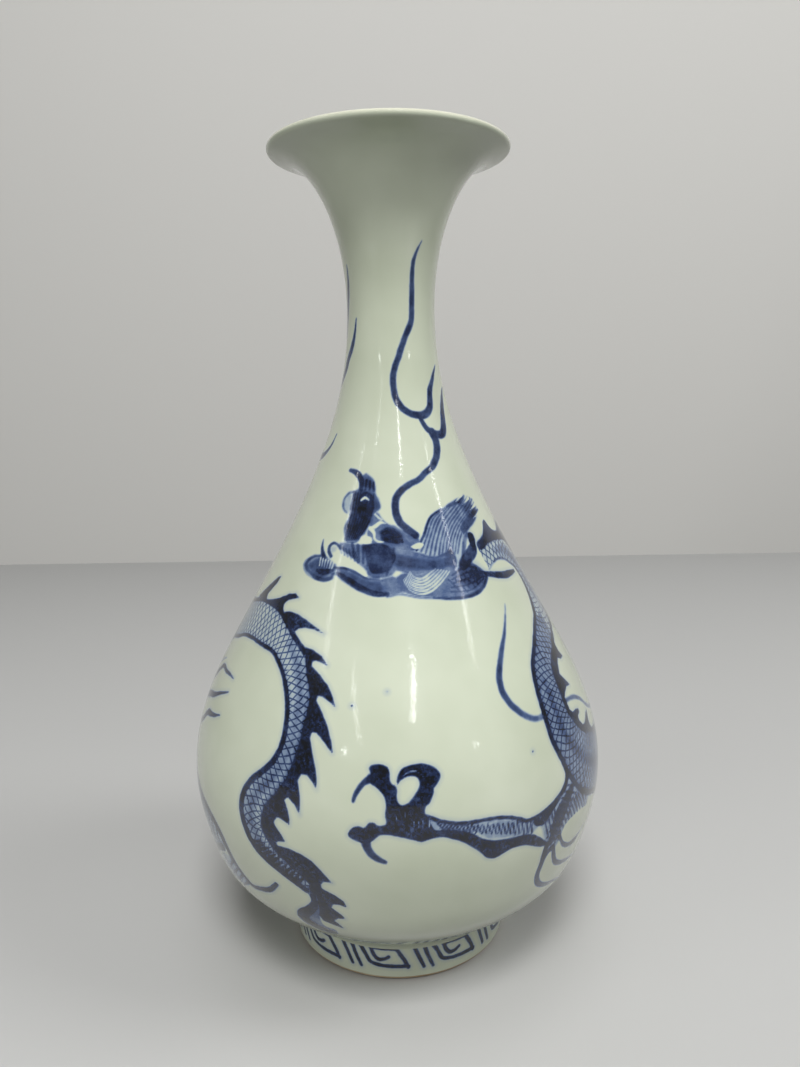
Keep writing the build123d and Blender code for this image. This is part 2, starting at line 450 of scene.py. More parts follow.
def glaze_colour(tree, place, c):
    """The glaze's own colour: cloudy, greener where it pools, paler where it drains, with a few iron specks."""
    s = sizes()
    pool_level = (s.foot_height + POOL_RISE) * MM
    top = s.foot_height + s.lower_belly_height + s.shoulder_height + s.mouth_height
    height = add(tree, "SeparateXYZ", place).outputs["Z"]
    cloud = add(tree, "TexNoise", named={"Vector": place, "Scale": SCALES["cloud"], "Detail": 3.0, "Roughness": 0.6})
    cloudy = add(tree, "MapRange", cloud, 0.35, 0.7, 0.0, 0.45)
    body = add(tree, "Mix", data_type="RGBA", named={"Factor": cloudy, "A": tuple(c.glaze), "B": tuple(c.pooled)})
    above = add(tree, "Math", height, pool_level, operation="SUBTRACT")
    pool = add(tree, "MapRange", add(tree, "Math", above, operation="ABSOLUTE"), 0.0, POOL_REACH * MM, 0.8, 0.0)
    pooled = add(tree, "Mix", data_type="RGBA",
                 named={"Factor": pool, "A": body.outputs["Result"], "B": tuple(c.pooled)})
    thin = add(tree, "MapRange", height, (top - THIN_FROM) * MM, (top - THIN_FULL) * MM, 0.0, 0.9)
    drained = add(tree, "Mix", data_type="RGBA",
                  named={"Factor": thin, "A": pooled.outputs["Result"], "B": tuple(c.lip)})
    cells = add(tree, "TexVoronoi", named={"Vector": place, "Scale": SCALES["iron_cell"]}, feature="F1")
    chance = add(tree, "SeparateColor", cells.outputs["Color"])
    size = add(tree, "MapRange", chance.outputs["Red"], PLAIN_CELLS, 1.0, -0.01, 0.05)
    speck = add(tree, "MapRange", add(tree, "Math", size, cells.outputs["Distance"], operation="SUBTRACT"),
                -0.012, 0.012, 0.0, 0.75)
    return add(tree, "Mix", data_type="RGBA",
               named={"Factor": speck, "A": drained.outputs["Result"], "B": tuple(c.iron)}).outputs["Result"]


def glaze_surface(tree, place, tint):
    """Poured and fired glaze: a glassy face over a cloudier depth, so lamps show as a streak with a soft glow.

    A slow wave, orange peel and pinpricks from the kiln break the streaks up.
    """
    wave = add(tree, "TexNoise", named={"Vector": place, "Scale": SCALES["wave"], "Detail": 2.0})
    pins = add(tree, "TexNoise", named={"Vector": place, "Scale": SCALES["pinprick"], "Detail": 1.0})
    peel = add(tree, "TexNoise", named={"Vector": place, "Scale": SCALES["peel"], "Detail": 1.0})
    soft = add(tree, "Bump", named={"Strength": 0.25, "Distance": 0.12 * MM, "Height": wave})
    dimpled = add(tree, "Bump", named={"Strength": 0.25, "Distance": 0.11 * MM, "Height": peel, "Normal": soft})
    pricked = add(tree, "Bump", named={"Strength": 0.12, "Distance": 0.03 * MM, "Height": pins, "Normal": dimpled})
    shade = add(tree, "BsdfPrincipled",
                named={"Base Color": tint, "Roughness": 0.26, "IOR": 1.4, "Normal": soft,
                       "Coat Weight": 0.8, "Coat Roughness": 0.07, "Coat IOR": 1.5, "Coat Normal": pricked})
    add(tree, "OutputMaterial", shade)


def plain_glaze(name, c):
    """Celadon-white glaze with no painting, as it lies inside the pot and under its base."""
    material, tree = new_material(name)
    place = add(tree, "TexCoord").outputs["Object"]
    glaze_surface(tree, place, glaze_colour(tree, place, c))
    return material


def painted_glaze(name, c):
    """Cobalt brushed on the raw clay under a celadon-white glaze: soft bled edges, dark where it heaped, with light
    flecks painted in as glints.
    """
    material, tree = new_material(name)
    place = add(tree, "TexCoord").outputs["Object"]
    ground = glaze_colour(tree, place, c)
    bleed = add(tree, "TexNoise", named={"Vector": place, "Scale": SCALES["bleed"], "Detail": 3.0})
    wander = add(tree, "MapRange", bleed, *NOISE_RANGE, -EDGE_WANDER, EDGE_WANDER)
    # Uneven pooling of the cobalt, whose fine mottle also paints light flecks as glints off the heaped cobalt
    pool = add(tree, "TexNoise", named={"Vector": place, "Scale": SCALES["pool"], "Detail": 5.0, "Roughness": 0.7})
    grain = add(tree, "TexNoise", named={"Vector": place, "Scale": SCALES["grain"], "Detail": 2.0, "Roughness": 0.7})
    share = {}
    for layer, (outside, inside, strength) in LAYER_EDGES.items():
        held = add(tree, "Attribute", attribute_name=layer).outputs["Fac"]
        depth = add(tree, "Math", held, wander, operation="ADD")
        share[layer] = add(tree, "MapRange", depth, outside, inside, 0.0, strength, interpolation_type="SMOOTHSTEP")
        if layer == "line":
            thick = add(tree, "MapRange", depth, HEAP_FROM, HEAP_FULL, 0.0, 1.0)
            halo = add(tree, "MapRange", depth, -HALO_REACH, 0.0, 0.0, HALO_STRENGTH)
    net = add(tree, "Math", share["skin"], scale_net(tree), operation="MULTIPLY")
    laid = add(tree, "Math", share["line"], halo, operation="ADD")
    for part in (share["wash"], share["pale"], share["mist"], share["deep"], net):
        laid = add(tree, "Math", laid, part, operation="ADD")
    # Grains: dark specks where the cobalt heaped, and light flecks painted in as glints off the heaped cobalt
    specks_and_glints = add(tree, "MapRange", grain, 0.42, 0.66, *GRAIN_AND_GLINT_RANGE)
    mottled = add(tree, "Math", add(tree, "Math", thick, FLAT_GRAIN_AND_GLINT_SHARE, operation="ADD"), specks_and_glints, operation="MULTIPLY")
    heaped = add(tree, "Math", add(tree, "Math", thick, HEAP_TONE, operation="MULTIPLY"), mottled, operation="ADD")
    pooling_and_glints = add(tree, "MapRange", pool, 0.3, 0.7, *POOLING_AND_GLINTS)
    full = add(tree, "Math", laid, FULL_WASH, operation="MINIMUM")
    soaked = add(tree, "Math", full, pooling_and_glints, operation="MULTIPLY")
    dense = add(tree, "Math", soaked, add(tree, "Math", heaped, share["line"], operation="MULTIPLY"), operation="ADD")
    kept = add(tree, "Math", 1.0, share["clear"], operation="SUBTRACT")
    inked = add(tree, "Math", dense, kept, operation="MULTIPLY")
    ramp = add(tree, "ValToRGB", inked)
    stops = ramp.color_ramp.elements
    stops[0].position, stops[0].color = INK_STOPS[0], tuple(c.pale_wash)
    stops[1].position, stops[1].color = INK_STOPS[3], tuple(c.heaped)
    for at, tint in zip(INK_STOPS[1:3], (c.mid_wash, c.strong_line)):
        stops.new(at).color = tuple(tint)
    cover = add(tree, "MapRange", inked, 0.0, INK_COVERS, 0.0, 1.0)
    tint = add(tree, "Mix", data_type="RGBA", named={"Factor": cover, "A": ground, "B": ramp.outputs["Color"]})
    glaze_surface(tree, place, tint.outputs["Result"])
    return material


def scale_net(tree):
    """How dark the drawn scales are: two sets of crossing brush lines, a little uneven, that leave pale lozenges."""
    along = add(tree, "Attribute", attribute_name="along").outputs["Fac"]
    across = add(tree, "Attribute", attribute_name="across").outputs["Fac"]
    place = add(tree, "TexCoord").outputs["Object"]
    sway = add(tree, "TexNoise", named={"Vector": place, "Scale": SCALES["sway"], "Detail": 1.0})
    lines = []
    for sign in (1.0, -1.0):
        run = add(tree, "Math", along, SCALE_LENGTH, operation="DIVIDE")
        side = add(tree, "Math", across, SCALE_WIDTH * sign, operation="DIVIDE")
        both = add(tree, "Math", add(tree, "Math", run, side, operation="ADD"), sway, operation="ADD")
        middle = add(tree, "Math", add(tree, "Math", both, operation="FRACT"), 0.5, operation="SUBTRACT")
        gap = add(tree, "Math", middle, operation="ABSOLUTE")
        lines.append(add(tree, "MapRange", gap, 0.05, 0.17, NET_STRENGTH, 0.0, interpolation_type="SMOOTHSTEP"))
    crossed = add(tree, "Math", lines[0], lines[1], operation="MAXIMUM")
    return add(tree, "Math", crossed, NET_GROUND, operation="ADD")


def flowing(points, step=STROKE_STEP):
    """A smooth run of (angle, height, width) through given points, closely spaced."""
    points = np.array(points, float)
    if len(points) < 3:
        whole = max(2, int(np.hypot(points[1, 0] - points[0, 0], points[1, 1] - points[0, 1]) / step) + 1)
        return np.linspace(points[0], points[-1], whole)
    ends = np.concatenate([[2 * points[0] - points[1]], points, [2 * points[-1] - points[-2]]])
    out = []
    for i in range(1, len(ends) - 2):
        p0, p1, p2, p3 = ends[i - 1:i + 3]
        count = max(2, int(np.hypot(p2[0] - p1[0], p2[1] - p1[1]) / step) + 1)
        for t in np.linspace(0, 1, count, endpoint=False):
            out.append(0.5 * (2 * p1 + (p2 - p0) * t + (2 * p0 - 5 * p1 + 4 * p2 - p3) * t * t
                              + (3 * p1 - p0 - 3 * p2 + p3) * t**3))
    out.append(points[-1])
    return np.array(out)


def stroke(points, widths, layer="line"):
    """A brush stroke: points as angle and height, widths in millimetres spread evenly along it."""
    points = np.array(points, float)
    run = np.concatenate([[0], np.cumsum(np.hypot(*np.diff(points, axis=0).T))])
    spread = np.interp(run / run[-1], np.linspace(0, 1, len(widths)), widths)
    return {"kind": "stroke", "layer": layer, "line": flowing(np.column_stack([points, spread]))}


def area(points, layer="wash", corners=False):
    """A filled shape inside a closed line of angle and height points."""
    points = [tuple(p) + (0.0,) for p in points]
    if corners:
        line = np.concatenate([flowing([a, b]) for a, b in zip(points, points[1:] + points[:1])])
    else:
        line = flowing(points + points[:1])
    return {"kind": "area", "layer": layer, "line": line}


def bundle(side_a, side_b, count, widths, layer="line"):
    """Strokes laid side by side between two guides that have the same number of points."""
    a, b = np.array(side_a, float), np.array(side_b, float)
    return [stroke(a + (b - a) * share, widths, layer) for share in np.linspace(0, 1, count)]


def soft(points, widths):
    """A stroke of thinner cobalt, which stays blue."""
    return [stroke(points, widths, "wash"), stroke(points, widths, "deep")]


def skin(side_a, side_b):
    """Scaled skin between two long sides that run the same way."""
    a, b = (resampled(side, SIDE_POINTS) for side in (side_a, side_b))
    outline = np.concatenate([a, b[::-1]])
    return [
        {"kind": "area", "layer": "skin", "line": np.column_stack([outline, np.zeros(len(outline))])},
        {"kind": "flow", "line": (a + b) / 2},
    ]


def resampled(points, count):
    """A smooth line through the points, as a set number of even steps."""
    line = flowing(np.column_stack([np.array(points, float), np.zeros(len(points))]), SIDE_STEP)[:, :2]
    run = np.concatenate([[0], np.cumsum(np.hypot(*np.diff(line, axis=0).T))])
    at = np.linspace(0, run[-1], count)
    return np.stack([np.interp(at, run, line[:, 0]), np.interp(at, run, line[:, 1])], 1)


def shifted(marks, angle, height=0.0):
    """The same marks moved round the vase."""
    out = []
    for mark in marks:
        line = mark["line"].copy()
        line[:, 0] += angle
        line[:, 1] += height
        out.append(dict(mark, line=line))
    return out


class Canvas:
    """Painting on a band of the glaze, as distances inside each mark's edge at the points of a grid."""

    def __init__(self, outline, runs, columns):
        self.outline = outline
        self.runs = runs
        self.columns = columns
        self.radii = outline.place_at(runs)[:, 0]
        shape = len(runs), columns
        self.layers = {name: np.full(shape, DRY) for name in LAYER_EDGES}
        self.layers["along"] = np.zeros(shape)
        self.layers["across"] = np.zeros(shape)
        self.nearest = np.full(shape, FAR_FLOW)

    def window(self, angles, runs, reach):
        """Rows and columns that lie within reach of a box."""
        low, high = np.searchsorted(self.runs, (min(runs) - reach, max(runs) + reach))
        low, high = max(low - 1, 0), min(high + 1, len(self.runs))
        if high <= low:
            return None
        margin = math.degrees(reach / max(self.radii[low:high].min(), 1.0))
        pitch = 360 / self.columns
        first = math.floor((min(angles) - margin) / pitch)
        last = math.ceil((max(angles) + margin) / pitch)
        return slice(low, high), np.arange(first, last + 1)

    def paint(self, mark):
        """Adds one mark."""
        line = mark["line"]
        runs = self.outline.run_at(line[:, 1])
        if runs.min() > self.runs[-1] + BAND_ROOM or runs.max() < self.runs[0] - BAND_ROOM:
            return
        if mark["kind"] == "area":
            self.fill(mark["layer"], line[:, 0], runs)
            return
        travelled = 0.0
        for i in range(len(line) - 1):
            a0, a1, s0, s1 = line[i, 0], line[i + 1, 0], runs[i], runs[i + 1]
            if mark["kind"] == "flow":
                mean = float(self.outline.place_at((s0 + s1) / 2)[0])
                step = math.hypot(math.radians(a1 - a0) * mean, s1 - s0)
                self.lead(a0, a1, s0, s1, travelled, step)
                travelled += step
            else:
                self.segment(mark["layer"], a0, a1, s0, s1, line[i, 2] / 2, line[i + 1, 2] / 2)

    def offsets(self, box, a0, s0):
        """Distances of a box's points round the vase and up it from a place, and the radius of each row."""
        rows, columns = box
        radii = self.radii[rows, None]
        x = np.radians(columns[None, :] * 360 / self.columns - a0) * radii
        return x, (self.runs[rows] - s0)[:, None] + 0 * x, radii

    def segment(self, layer, a0, a1, s0, s1, w0, w1):
        """Paints a short straight length of a stroke, whose half widths at its ends are given."""
        box = self.window((a0, a1), (s0, s1), max(w0, w1) + MARK_REACH)
        if box is None:
            return
        x, y, radii = self.offsets(box, a0, s0)
        dx, dy = np.radians(a1 - a0) * radii, s1 - s0
        t = np.clip((x * dx + y * dy) / np.maximum(dx * dx + dy * dy, 1e-9), 0, 1)
        depth = w0 + (w1 - w0) * t - np.hypot(x - t * dx, y - t * dy)
        self.keep(layer, box, depth)

    def keep(self, layer, box, depth):
        """Holds the greatest depth inside any mark of a layer."""
        rows, columns = box
        grid = self.layers[layer]
        columns = columns % self.columns
        grid[rows, columns] = np.maximum(grid[rows, columns], depth)

    def fill(self, layer, angles, runs):
        """Paints the inside of a closed line."""
        box = self.window(angles, runs, MARK_REACH)
        if box is None:
            return
        x, y, radii = self.offsets(box, 0.0, 0.0)
        inside = np.zeros(x.shape, bool)
        nearest = np.full(x.shape, FAR_EDGE)
        for i in range(len(angles)):
            a0, a1, s0, s1 = angles[i - 1], angles[i], runs[i - 1], runs[i]
            x0, x1 = np.radians(a0) * radii, np.radians(a1) * radii
            if s0 != s1:
                crosses = (s0 > y) != (s1 > y)
                inside ^= crosses & (x < (x1 - x0) * (y - s0) / (s1 - s0) + x0)
            dx, dy = x1 - x0, s1 - s0
            t = np.clip(((x - x0) * dx + (y - s0) * dy) / np.maximum(dx * dx + dy * dy, 1e-9), 0, 1)
            nearest = np.minimum(nearest, np.hypot(x - x0 - t * dx, y - s0 - t * dy))
        self.keep(layer, box, np.where(inside, nearest, -nearest))

    def lead(self, a0, a1, s0, s1, travelled, step):
        """Notes how far along and across a body's middle line the points beside a short length of it lie."""
        box = self.window((a0, a1), (s0, s1), FLOW_REACH)
        if box is None:
            return
        x, y, radii = self.offsets(box, a0, s0)
        dx, dy = np.radians(a1 - a0) * radii, s1 - s0
        size = np.sqrt(dx * dx + dy * dy)
        t = (x * dx + y * dy) / np.maximum(size * size, 1e-9)
        held = np.clip(t, 0, 1)
        away = np.hypot(x - held * dx, y - held * dy)
        rows, columns = box
        columns = columns % self.columns
        near = self.nearest[rows, columns]
        closer = away < near
        self.nearest[rows, columns] = np.where(closer, away, near)
        for name, value in (("along", travelled + t * step), ("across", (x * dy - y * dx) / size)):
            grid = self.layers[name]
            grid[rows, columns] = np.where(closer, value, grid[rows, columns])


# The painting's points are angles in degrees round from the middle of the front, positive to the right, and heights

def neck_flames():
    """Flames that lick up the neck from the dragon's head, and those that show at its left edge."""
    return [
        *soft([(37, 256.5), (31.5, 253), (27.5, 248.5), (27.5, 240), (27, 233.3), (25, 229.4), (19, 226.1), (14, 222.8),
               (9, 218.9), (4, 215), (1.5, 211.7), (1.5, 207.8), (4, 203.9), (9, 201.1), (16, 199.2), (24, 198.3),
               (32, 198.6), (39, 200.6), (42, 203.9), (44, 206.7), (50, 210), (57, 213.3), (63, 215.6)],
              [0.3, 1.9, 2.1, 2.1, 2.1, 2.4, 3.0, 2.1, 0.4]),
        *soft([(25, 198), (27, 196.7), (31, 193.9), (35, 192.8), (41, 191.7), (47, 191.7), (52, 193.9), (57, 198.9),
                (62, 202.8), (68, 206.1), (74, 207.8)], [1.4, 2.6, 3.2, 2.2, 0.4]),
        *soft([(36, 192.5), (38, 189.4), (37, 186.7), (34, 183.9), (29, 181.1), (23, 179.4), (17.7, 177.3),
                (10.8, 175.8), (5.4, 174), (1.9, 171.9), (0.8, 169.2), (1.2, 166.5), (3.1, 163.8), (6.2, 161.9),
                (10.8, 159.6)], [3.2, 2.6, 2.0, 2.2, 2.5, 2.6]),
        *soft([(-50, 231.7), (-52, 227.8), (-56, 223.3), (-61, 220), (-66, 217.2), (-70, 213.9), (-80, 209)],
               [0.5, 2.3, 2.8, 1.9]),
        *soft([(-64, 250), (-66, 245), (-70, 240), (-76, 234), (-80, 226)], [0.4, 2.2, 2.7, 1.4]),
        *soft([(-58, 192), (-62, 188), (-70, 185), (-80, 184), (-92, 188)], [0.4, 2.0, 2.5, 0.8]),
    ]


def face():
    """Crest, brow and eye, with the curls of the cheek left in reserve."""
    marks = [
        area([(-22.4, 178.4), (-19, 179.4), (-15.5, 178.5), (-12.5, 177), (-11.3, 175), (-11, 173), (-9.4, 171.6),
              (-8, 170), (-7.3, 168.5), (-8.3, 167.5), (-10, 166.7), (-11.5, 165.5), (-10.8, 164), (-13, 163),
              (-14.5, 161), (-15, 160), (-17, 159.3), (-17.5, 158), (-20, 157), (-24, 157), (-26.5, 159.5),
              (-27.5, 162.5), (-26, 165), (-25.5, 167), (-25.8, 173), (-23, 174.3), (-21.5, 175.5)], "wash"),
        area([(-24.4, 172.6), (-20, 174), (-14, 173.4), (-10, 171), (-8.6, 168.6), (-11.2, 166.4), (-11.6, 164.4),
              (-13.6, 162.6), (-15.4, 160.4), (-18, 158.6), (-23.6, 158.2), (-26, 160.4), (-26.6, 162.6),
              (-25, 165.4), (-24.6, 168)], "pale"),
        area([(-20, 177.8), (-17, 178.2), (-13.4, 176.2), (-12.6, 174.4), (-19.4, 174.8)], "pale"),
        area([(-23.5, 173), (-18, 173.4), (-13, 173), (-9, 170), (-8.5, 168.5), (-11.5, 166.3), (-12, 164.5),
              (-18, 164.4), (-24, 165)], "pale"),
        area([(-21, 177.6), (-17, 178), (-12.8, 175.5), (-12.3, 173.5), (-20, 174.2)], "wash"),
        *soft([(-31.5, 180.2), (-27, 179.6), (-23.5, 178.4), (-21.4, 176.4), (-21, 174)], [1.4, 1.8, 2.0, 2.2, 1.4]),
        stroke([(-20.5, 172), (-17, 173), (-13.5, 171.7), (-12.4, 168.5), (-14, 166), (-17.5, 165.2), (-20, 167),
                (-21, 170), (-20.5, 172)], [1.1, 1.0, 1.3, 1.0], "deep"),
        stroke([(-17.4, 169), (-15.6, 168.6)], [2.2, 2.0]),
        stroke([(-19.9, 170.6), (-17.7, 171.5), (-15.2, 170.8)], [0.7, 1.1, 0.5], "clear"),
        area([(-25.9, 172.3), (-28.5, 172.5), (-30.5, 171.5), (-31.5, 169.5), (-30.5, 167.8), (-28, 166.8),
              (-25.9, 167)], "pale"),
        stroke([(-25.6, 173.2), (-29, 172.8), (-31.4, 171), (-31.6, 169.2), (-30, 167.4), (-27.3, 166.4)],
               [0.9, 1.0, 0.8, 0.6], "wash"),
        stroke([(-25.4, 173.4), (-25.7, 170), (-25.6, 166)], [0.8, 0.6, 0.8], "deep"),
        area([(-12, 166.5), (-9, 167), (-6.5, 165), (-3.5, 163.6), (0, 162.6), (4, 160.5), (5, 158), (-2, 157),
              (-10, 157), (-14, 160)], "wash"),
        area([(-9, 161.4), (-7.5, 162.4), (-4, 163), (0, 162.9), (3.8, 161.6), (7.5, 160.8), (11.2, 159.6),
              (12.6, 158), (12, 156), (9, 154.8), (4, 154.8), (-4, 156.8), (-8, 157.8), (-7.2, 159.6)], "wash"),
        area([(-7.4, 161), (-4, 162.2), (0, 162), (3, 160.6), (4.4, 158.8), (3, 157.2), (-2, 157.4), (-6, 158.2)],
             "deep"),
        stroke([(-5.6, 160.4), (-2, 161), (1.6, 159.6), (4, 157.6)], [0.6, 1.0, 1.0, 0.5]),
        stroke([(-4.6, 158.8), (-1, 159), (2, 157.6)], [0.5, 0.9, 0.5]),
        stroke([(-10.5, 166.3), (-8.4, 165.2), (-6.6, 164.6)], [0.6, 0.7, 0.4], "clear"),
        stroke([(-4.5, 163.5), (-7.5, 163.7), (-9.8, 162.6), (-12.3, 161.9)], [0.4, 1.0, 1.4, 1.0], "clear"),
        stroke([(-12.3, 161.9), (-10.3, 160.3), (-10, 158.8), (-8, 157.9), (-5.3, 157.7)], [1.6, 1.0, 0.7, 0.7, 0.4],
               "clear"),
        area([(-16.3, 159.1), (-13.5, 159.5), (-11.2, 159), (-11.5, 157.4), (-14.5, 157.1), (-16.2, 157.7)], "clear"),
    ]
    marks += bundle([(-24.4, 173.2), (-24.6, 165), (-25.4, 158)], [(-12.5, 172.5), (-13, 165.5), (-18, 158.5)], 8,
                    [0.5, 0.9, 0.5], "deep")
    marks += bundle([(-20.5, 177.5), (-20.8, 174.2)], [(-13, 176.5), (-12.6, 173.8)], 4, [0.6, 0.8], "deep")
    return marks


def jaws():
    """Snout, both jaws with the open mouth between them, the cheek and the ribbed beard."""
    chin = [(-3, 141.6), (2, 142.1), (6, 141.5), (10, 140.9), (15, 140.6), (20, 140.1), (25, 139.8), (31, 139.9),
            (36, 140.8), (40, 142.4), (42.6, 144.2)]
    marks = [
        area([(-28, 157), (-24.5, 157.3), (-19.5, 157), (-14, 157), (-8, 157.5), (-2, 157), (2, 155.5), (4.5, 153.5),
              (3, 151), (0, 148.5), (-3, 147), (-8, 147), (-11.5, 147.4), (-12.5, 148.8), (-14.5, 150), (-17, 151.2),
              (-20.5, 153), (-25, 154.6), (-28, 155.4)], "wash"),
        area([(-15.5, 157), (-9, 157.3), (-3, 156.6), (0.6, 154), (-1, 150.5), (-4, 148.5), (-9.5, 148.2),
              (-11.5, 149.8), (-12.8, 152), (-14.2, 154.5)], "deep"),
        # Cobalt wash over the upper lip, kept paler than the ink round it as partly painted reflection: a lamp's glow
        # blurred over heaped cobalt
        area([(2, 155.5), (8, 155), (13, 154), (18, 152.8), (24, 153.6), (28, 155), (29.5, 151), (27, 147.8),
              (22, 147.3), (14, 147.8), (8, 147.4), (3, 148.6), (-1, 150)], "wash"),
        area([(-2, 154.4), (6, 153.4), (14, 152), (22, 152), (27, 152.6), (28, 150), (20, 149), (10, 149), (0, 150.6)],
             "pale"),
        area([(-26, 148), (-20, 148.4), (-12, 146), (-6, 145.4), (-5, 143), (-9, 142.4), (-15, 143.8), (-21, 145.8)],
             "pale"),
        area([(-43, 149), (-39, 151.4), (-32, 151), (-29.5, 148), (-32, 146), (-38, 146.6)], "pale"),
        *soft([(-31, 152.7), (-32.9, 154), (-33.3, 155.7), (-31.5, 156.8), (-29, 156.4), (-27, 155.3)],
              [1.3, 1.1, 1.0, 0.9]),
        area([(-31.3, 153.6), (-32.4, 155), (-31, 156), (-28.8, 155.6), (-29, 154.4)], "pale"),
        *soft([(-38.4, 157.5), (-37.9, 155.5), (-36.6, 153.8), (-34.8, 152.2)], [0.3, 1.0, 1.5, 1.9]),
        area([(-45.5, 149.2), (-44.3, 151), (-41.5, 152.2), (-38, 152.6), (-33, 152.2), (-29, 151), (-26.8, 150),
              (-27, 147), (-28, 145.6), (-31.5, 144.9), (-36, 145.2), (-40.5, 146.6), (-44, 147.9)], "wash"),
        stroke([(-33, 152.3), (-37, 152.6), (-41.5, 152), (-44.9, 150), (-44.4, 148.5), (-41, 146.9), (-36, 145.7),
                (-31, 145.4), (-27.6, 146.2)], [0.6, 0.8, 1.2, 2.0, 2.2, 1.8, 1.6, 1.5, 1.5], "deep"),
        stroke([(-36.5, 148), (-32.5, 147.7), (-28.6, 148.3)], [1.2, 2.0, 1.4], "deep"),
        area([(-27.4, 149.7), (-23, 149.8), (-18, 148.9), (-14.5, 147.8), (-11, 146.8), (-6, 146.6), (-1, 147.5),
              (2, 146), (4, 143.5), (2, 142.2), (-3, 141.6), (-8, 141.4), (-14, 142.6), (-20, 144.6), (-25, 146.6)],
             "wash"),
        stroke([(-28, 147.4), (-24.5, 147.4), (-19, 145.6), (-13.5, 143.6), (-8, 142.3), (-3, 142.2)],
               [1.0, 1.8, 2.2, 2.0, 1.4], "deep"),
        stroke([(-27.5, 149.4), (-22, 149.4), (-17, 148.4), (-12, 146.9), (-7, 146.8)], [0.9, 1.0, 0.9, 1.2], "deep"),
        area([(0, 147), (4, 148.4), (10, 147.8), (16, 149), (24, 149), (28, 147.3), (27, 143), (22, 140.2),
              (14, 140.8), (9, 141.2), (4, 142.4), (1, 143.6)], "wash"),
        stroke(chin, [1.2, 0.8, 0.9, 1.2, 1.4, 1.4, 1.2], "wash"),
        stroke(chin[4:], [0.6, 1.0, 1.2, 1.3, 1.3], "deep"),
        area([(20.5, 142.5), (23, 147), (26, 147.6), (30, 148.8), (36, 149.7), (41, 147.6), (43, 144.6), (40, 142.2),
              (35, 140.4), (29, 139.8), (24, 139.9), (19, 140.8)], "wash"),
        area([(29, 149), (36, 150), (41, 147.8), (42, 145), (36, 143), (30, 144)], "mist"),
        area([(-29.2, 153.3), (-25, 153), (-20, 151.7), (-15, 149.7), (-11.7, 147.6), (-12.6, 147.2), (-15, 148.1),
              (-18, 149.3), (-24, 150.1), (-27.2, 150.6), (-28.5, 151.7)], "clear"),
        area([(8, 156.2), (10, 156.9), (12.6, 157.3), (14.4, 156.6), (12.4, 155.5), (9.6, 155.4)], "clear"),
    ]
    marks += bundle([(-21, 157), (-18.5, 152.5)], [(-0.5, 155.5), (-3.5, 148)], 8, [1.0, 0.7], "deep")
    marks += bundle([(-27.5, 156), (-25.8, 154)], [(-18.6, 154.4), (-16.6, 151.4)], 6, [0.5, 0.8], "deep")
    marks += bundle([(-36.6, 151.9), (-36, 149.4)], [(-28.6, 151), (-28.9, 149)], 6, [0.5, 0.3], "clear")
    marks += bundle([(3.6, 146.2), (6, 143.2), (10, 141.9), (14, 142.4), (19, 144.6), (24.5, 148)],
                    [(6.5, 148.6), (8, 147.1), (10.5, 146.4), (12.8, 146.8), (15, 147.8), (18, 149)], 6,
                    [0.15, 0.7, 0.2], "clear")
    marks += bundle([(23, 141.8), (32, 141.6), (41, 144.2)], [(25, 146.6), (33, 148.6), (40, 147.6)], 5,
                    [0.4, 0.5, 0.4], "deep")
    marks += bundle([(23, 145.5), (28, 140.6)], [(38, 148), (41.5, 143.6)], 7, [0.4, 0.4], "deep")
    return marks


def mane():
    """Hair blown back from the cheek in parallel locks, and the dark tuft behind it."""
    guides = [
        [(10.5, 155), (15.2, 159.6), (20, 164.6), (28, 167.2)],
        [(16.4, 153), (20.3, 158.8), (26, 164), (36, 168.2)],
        [(20.6, 152.6), (24.5, 158.4), (31.5, 163.8), (50, 170.6)],
        [(26, 152.8), (30, 158.2), (38, 163), (56.4, 169)],
        [(31, 153), (35.5, 157.8), (43, 162), (58.2, 165.5)],
    ]
    tuft = [(40.6, 155.6), (43.4, 155), (43, 152.6), (40, 150.8), (36, 149.2), (31.6, 147.6), (29.6, 149.4), (33, 152),
            (37, 154)]
    marks = [
        area([(8, 155.3), (12.4, 156.2), (14.8, 158.8), (16.2, 161.5), (18, 163.8), (21, 165.8), (25, 167),
              (29, 167.6), (34, 168.6), (40, 169.8), (46, 170.6), (50, 171), (48.5, 169.8), (54, 170), (57, 169),
              (53.5, 167.6), (56.5, 166.2), (58.5, 165.4), (55, 163.8), (50, 161.6), (45, 160), (41.5, 159),
              (38, 157.5), (36, 155), (33, 151), (28, 150), (24, 152.5), (18, 152.2), (13, 154)], "pale"),
        area([(38, 158.3), (44, 160.2), (50, 162), (56, 164.4), (58.2, 165.4), (50, 165.2), (43, 163.4), (37, 160.8)],
             "wash"),
        area([(30, 167.4), (36, 167.6), (43, 168.4), (50, 170.8), (42, 170), (34, 168.8)], "wash"),
        area([(44, 167.6), (52, 168), (55, 165.6), (48, 164)], "mist"),
        area([(40.6, 158.2), (42.4, 159), (44.4, 158.2), (44.6, 156.4), (43.2, 154.6), (41, 154.2), (40, 156)], "line"),
        area(tuft, "deep"),
        area(tuft, "wash"),
        stroke([(33, 151), (37.5, 156.5), (40.5, 158.5)], [1.6, 1.8, 1.6], "wash"),
        stroke([(36, 146.2), (41, 145.6), (46, 145), (51, 144.1), (56, 143.5), (61, 143.4), (66.5, 143.4)],
               [1.4, 1.7, 2.0, 2.5, 2.6, 2.2, 1.0]),
    ]
    for first, second, count in zip(guides, guides[1:], (4, 3, 4, 4)):
        marks += bundle(first, second, count, [0.4, 0.7, 0.6, 0.5], "wash")[1:]
    marks += soft(guides[0], [0.6, 0.9, 0.8, 0.6])
    marks += [stroke([tip, root], [1.1, 0.1], "clear") for tip, root in (
        ((57.5, 167.2), (49, 165.6)), ((52.5, 169.6), (45, 167.8)), ((57, 164.2), (50, 163)), ((47, 171), (40, 169)))]
    return marks


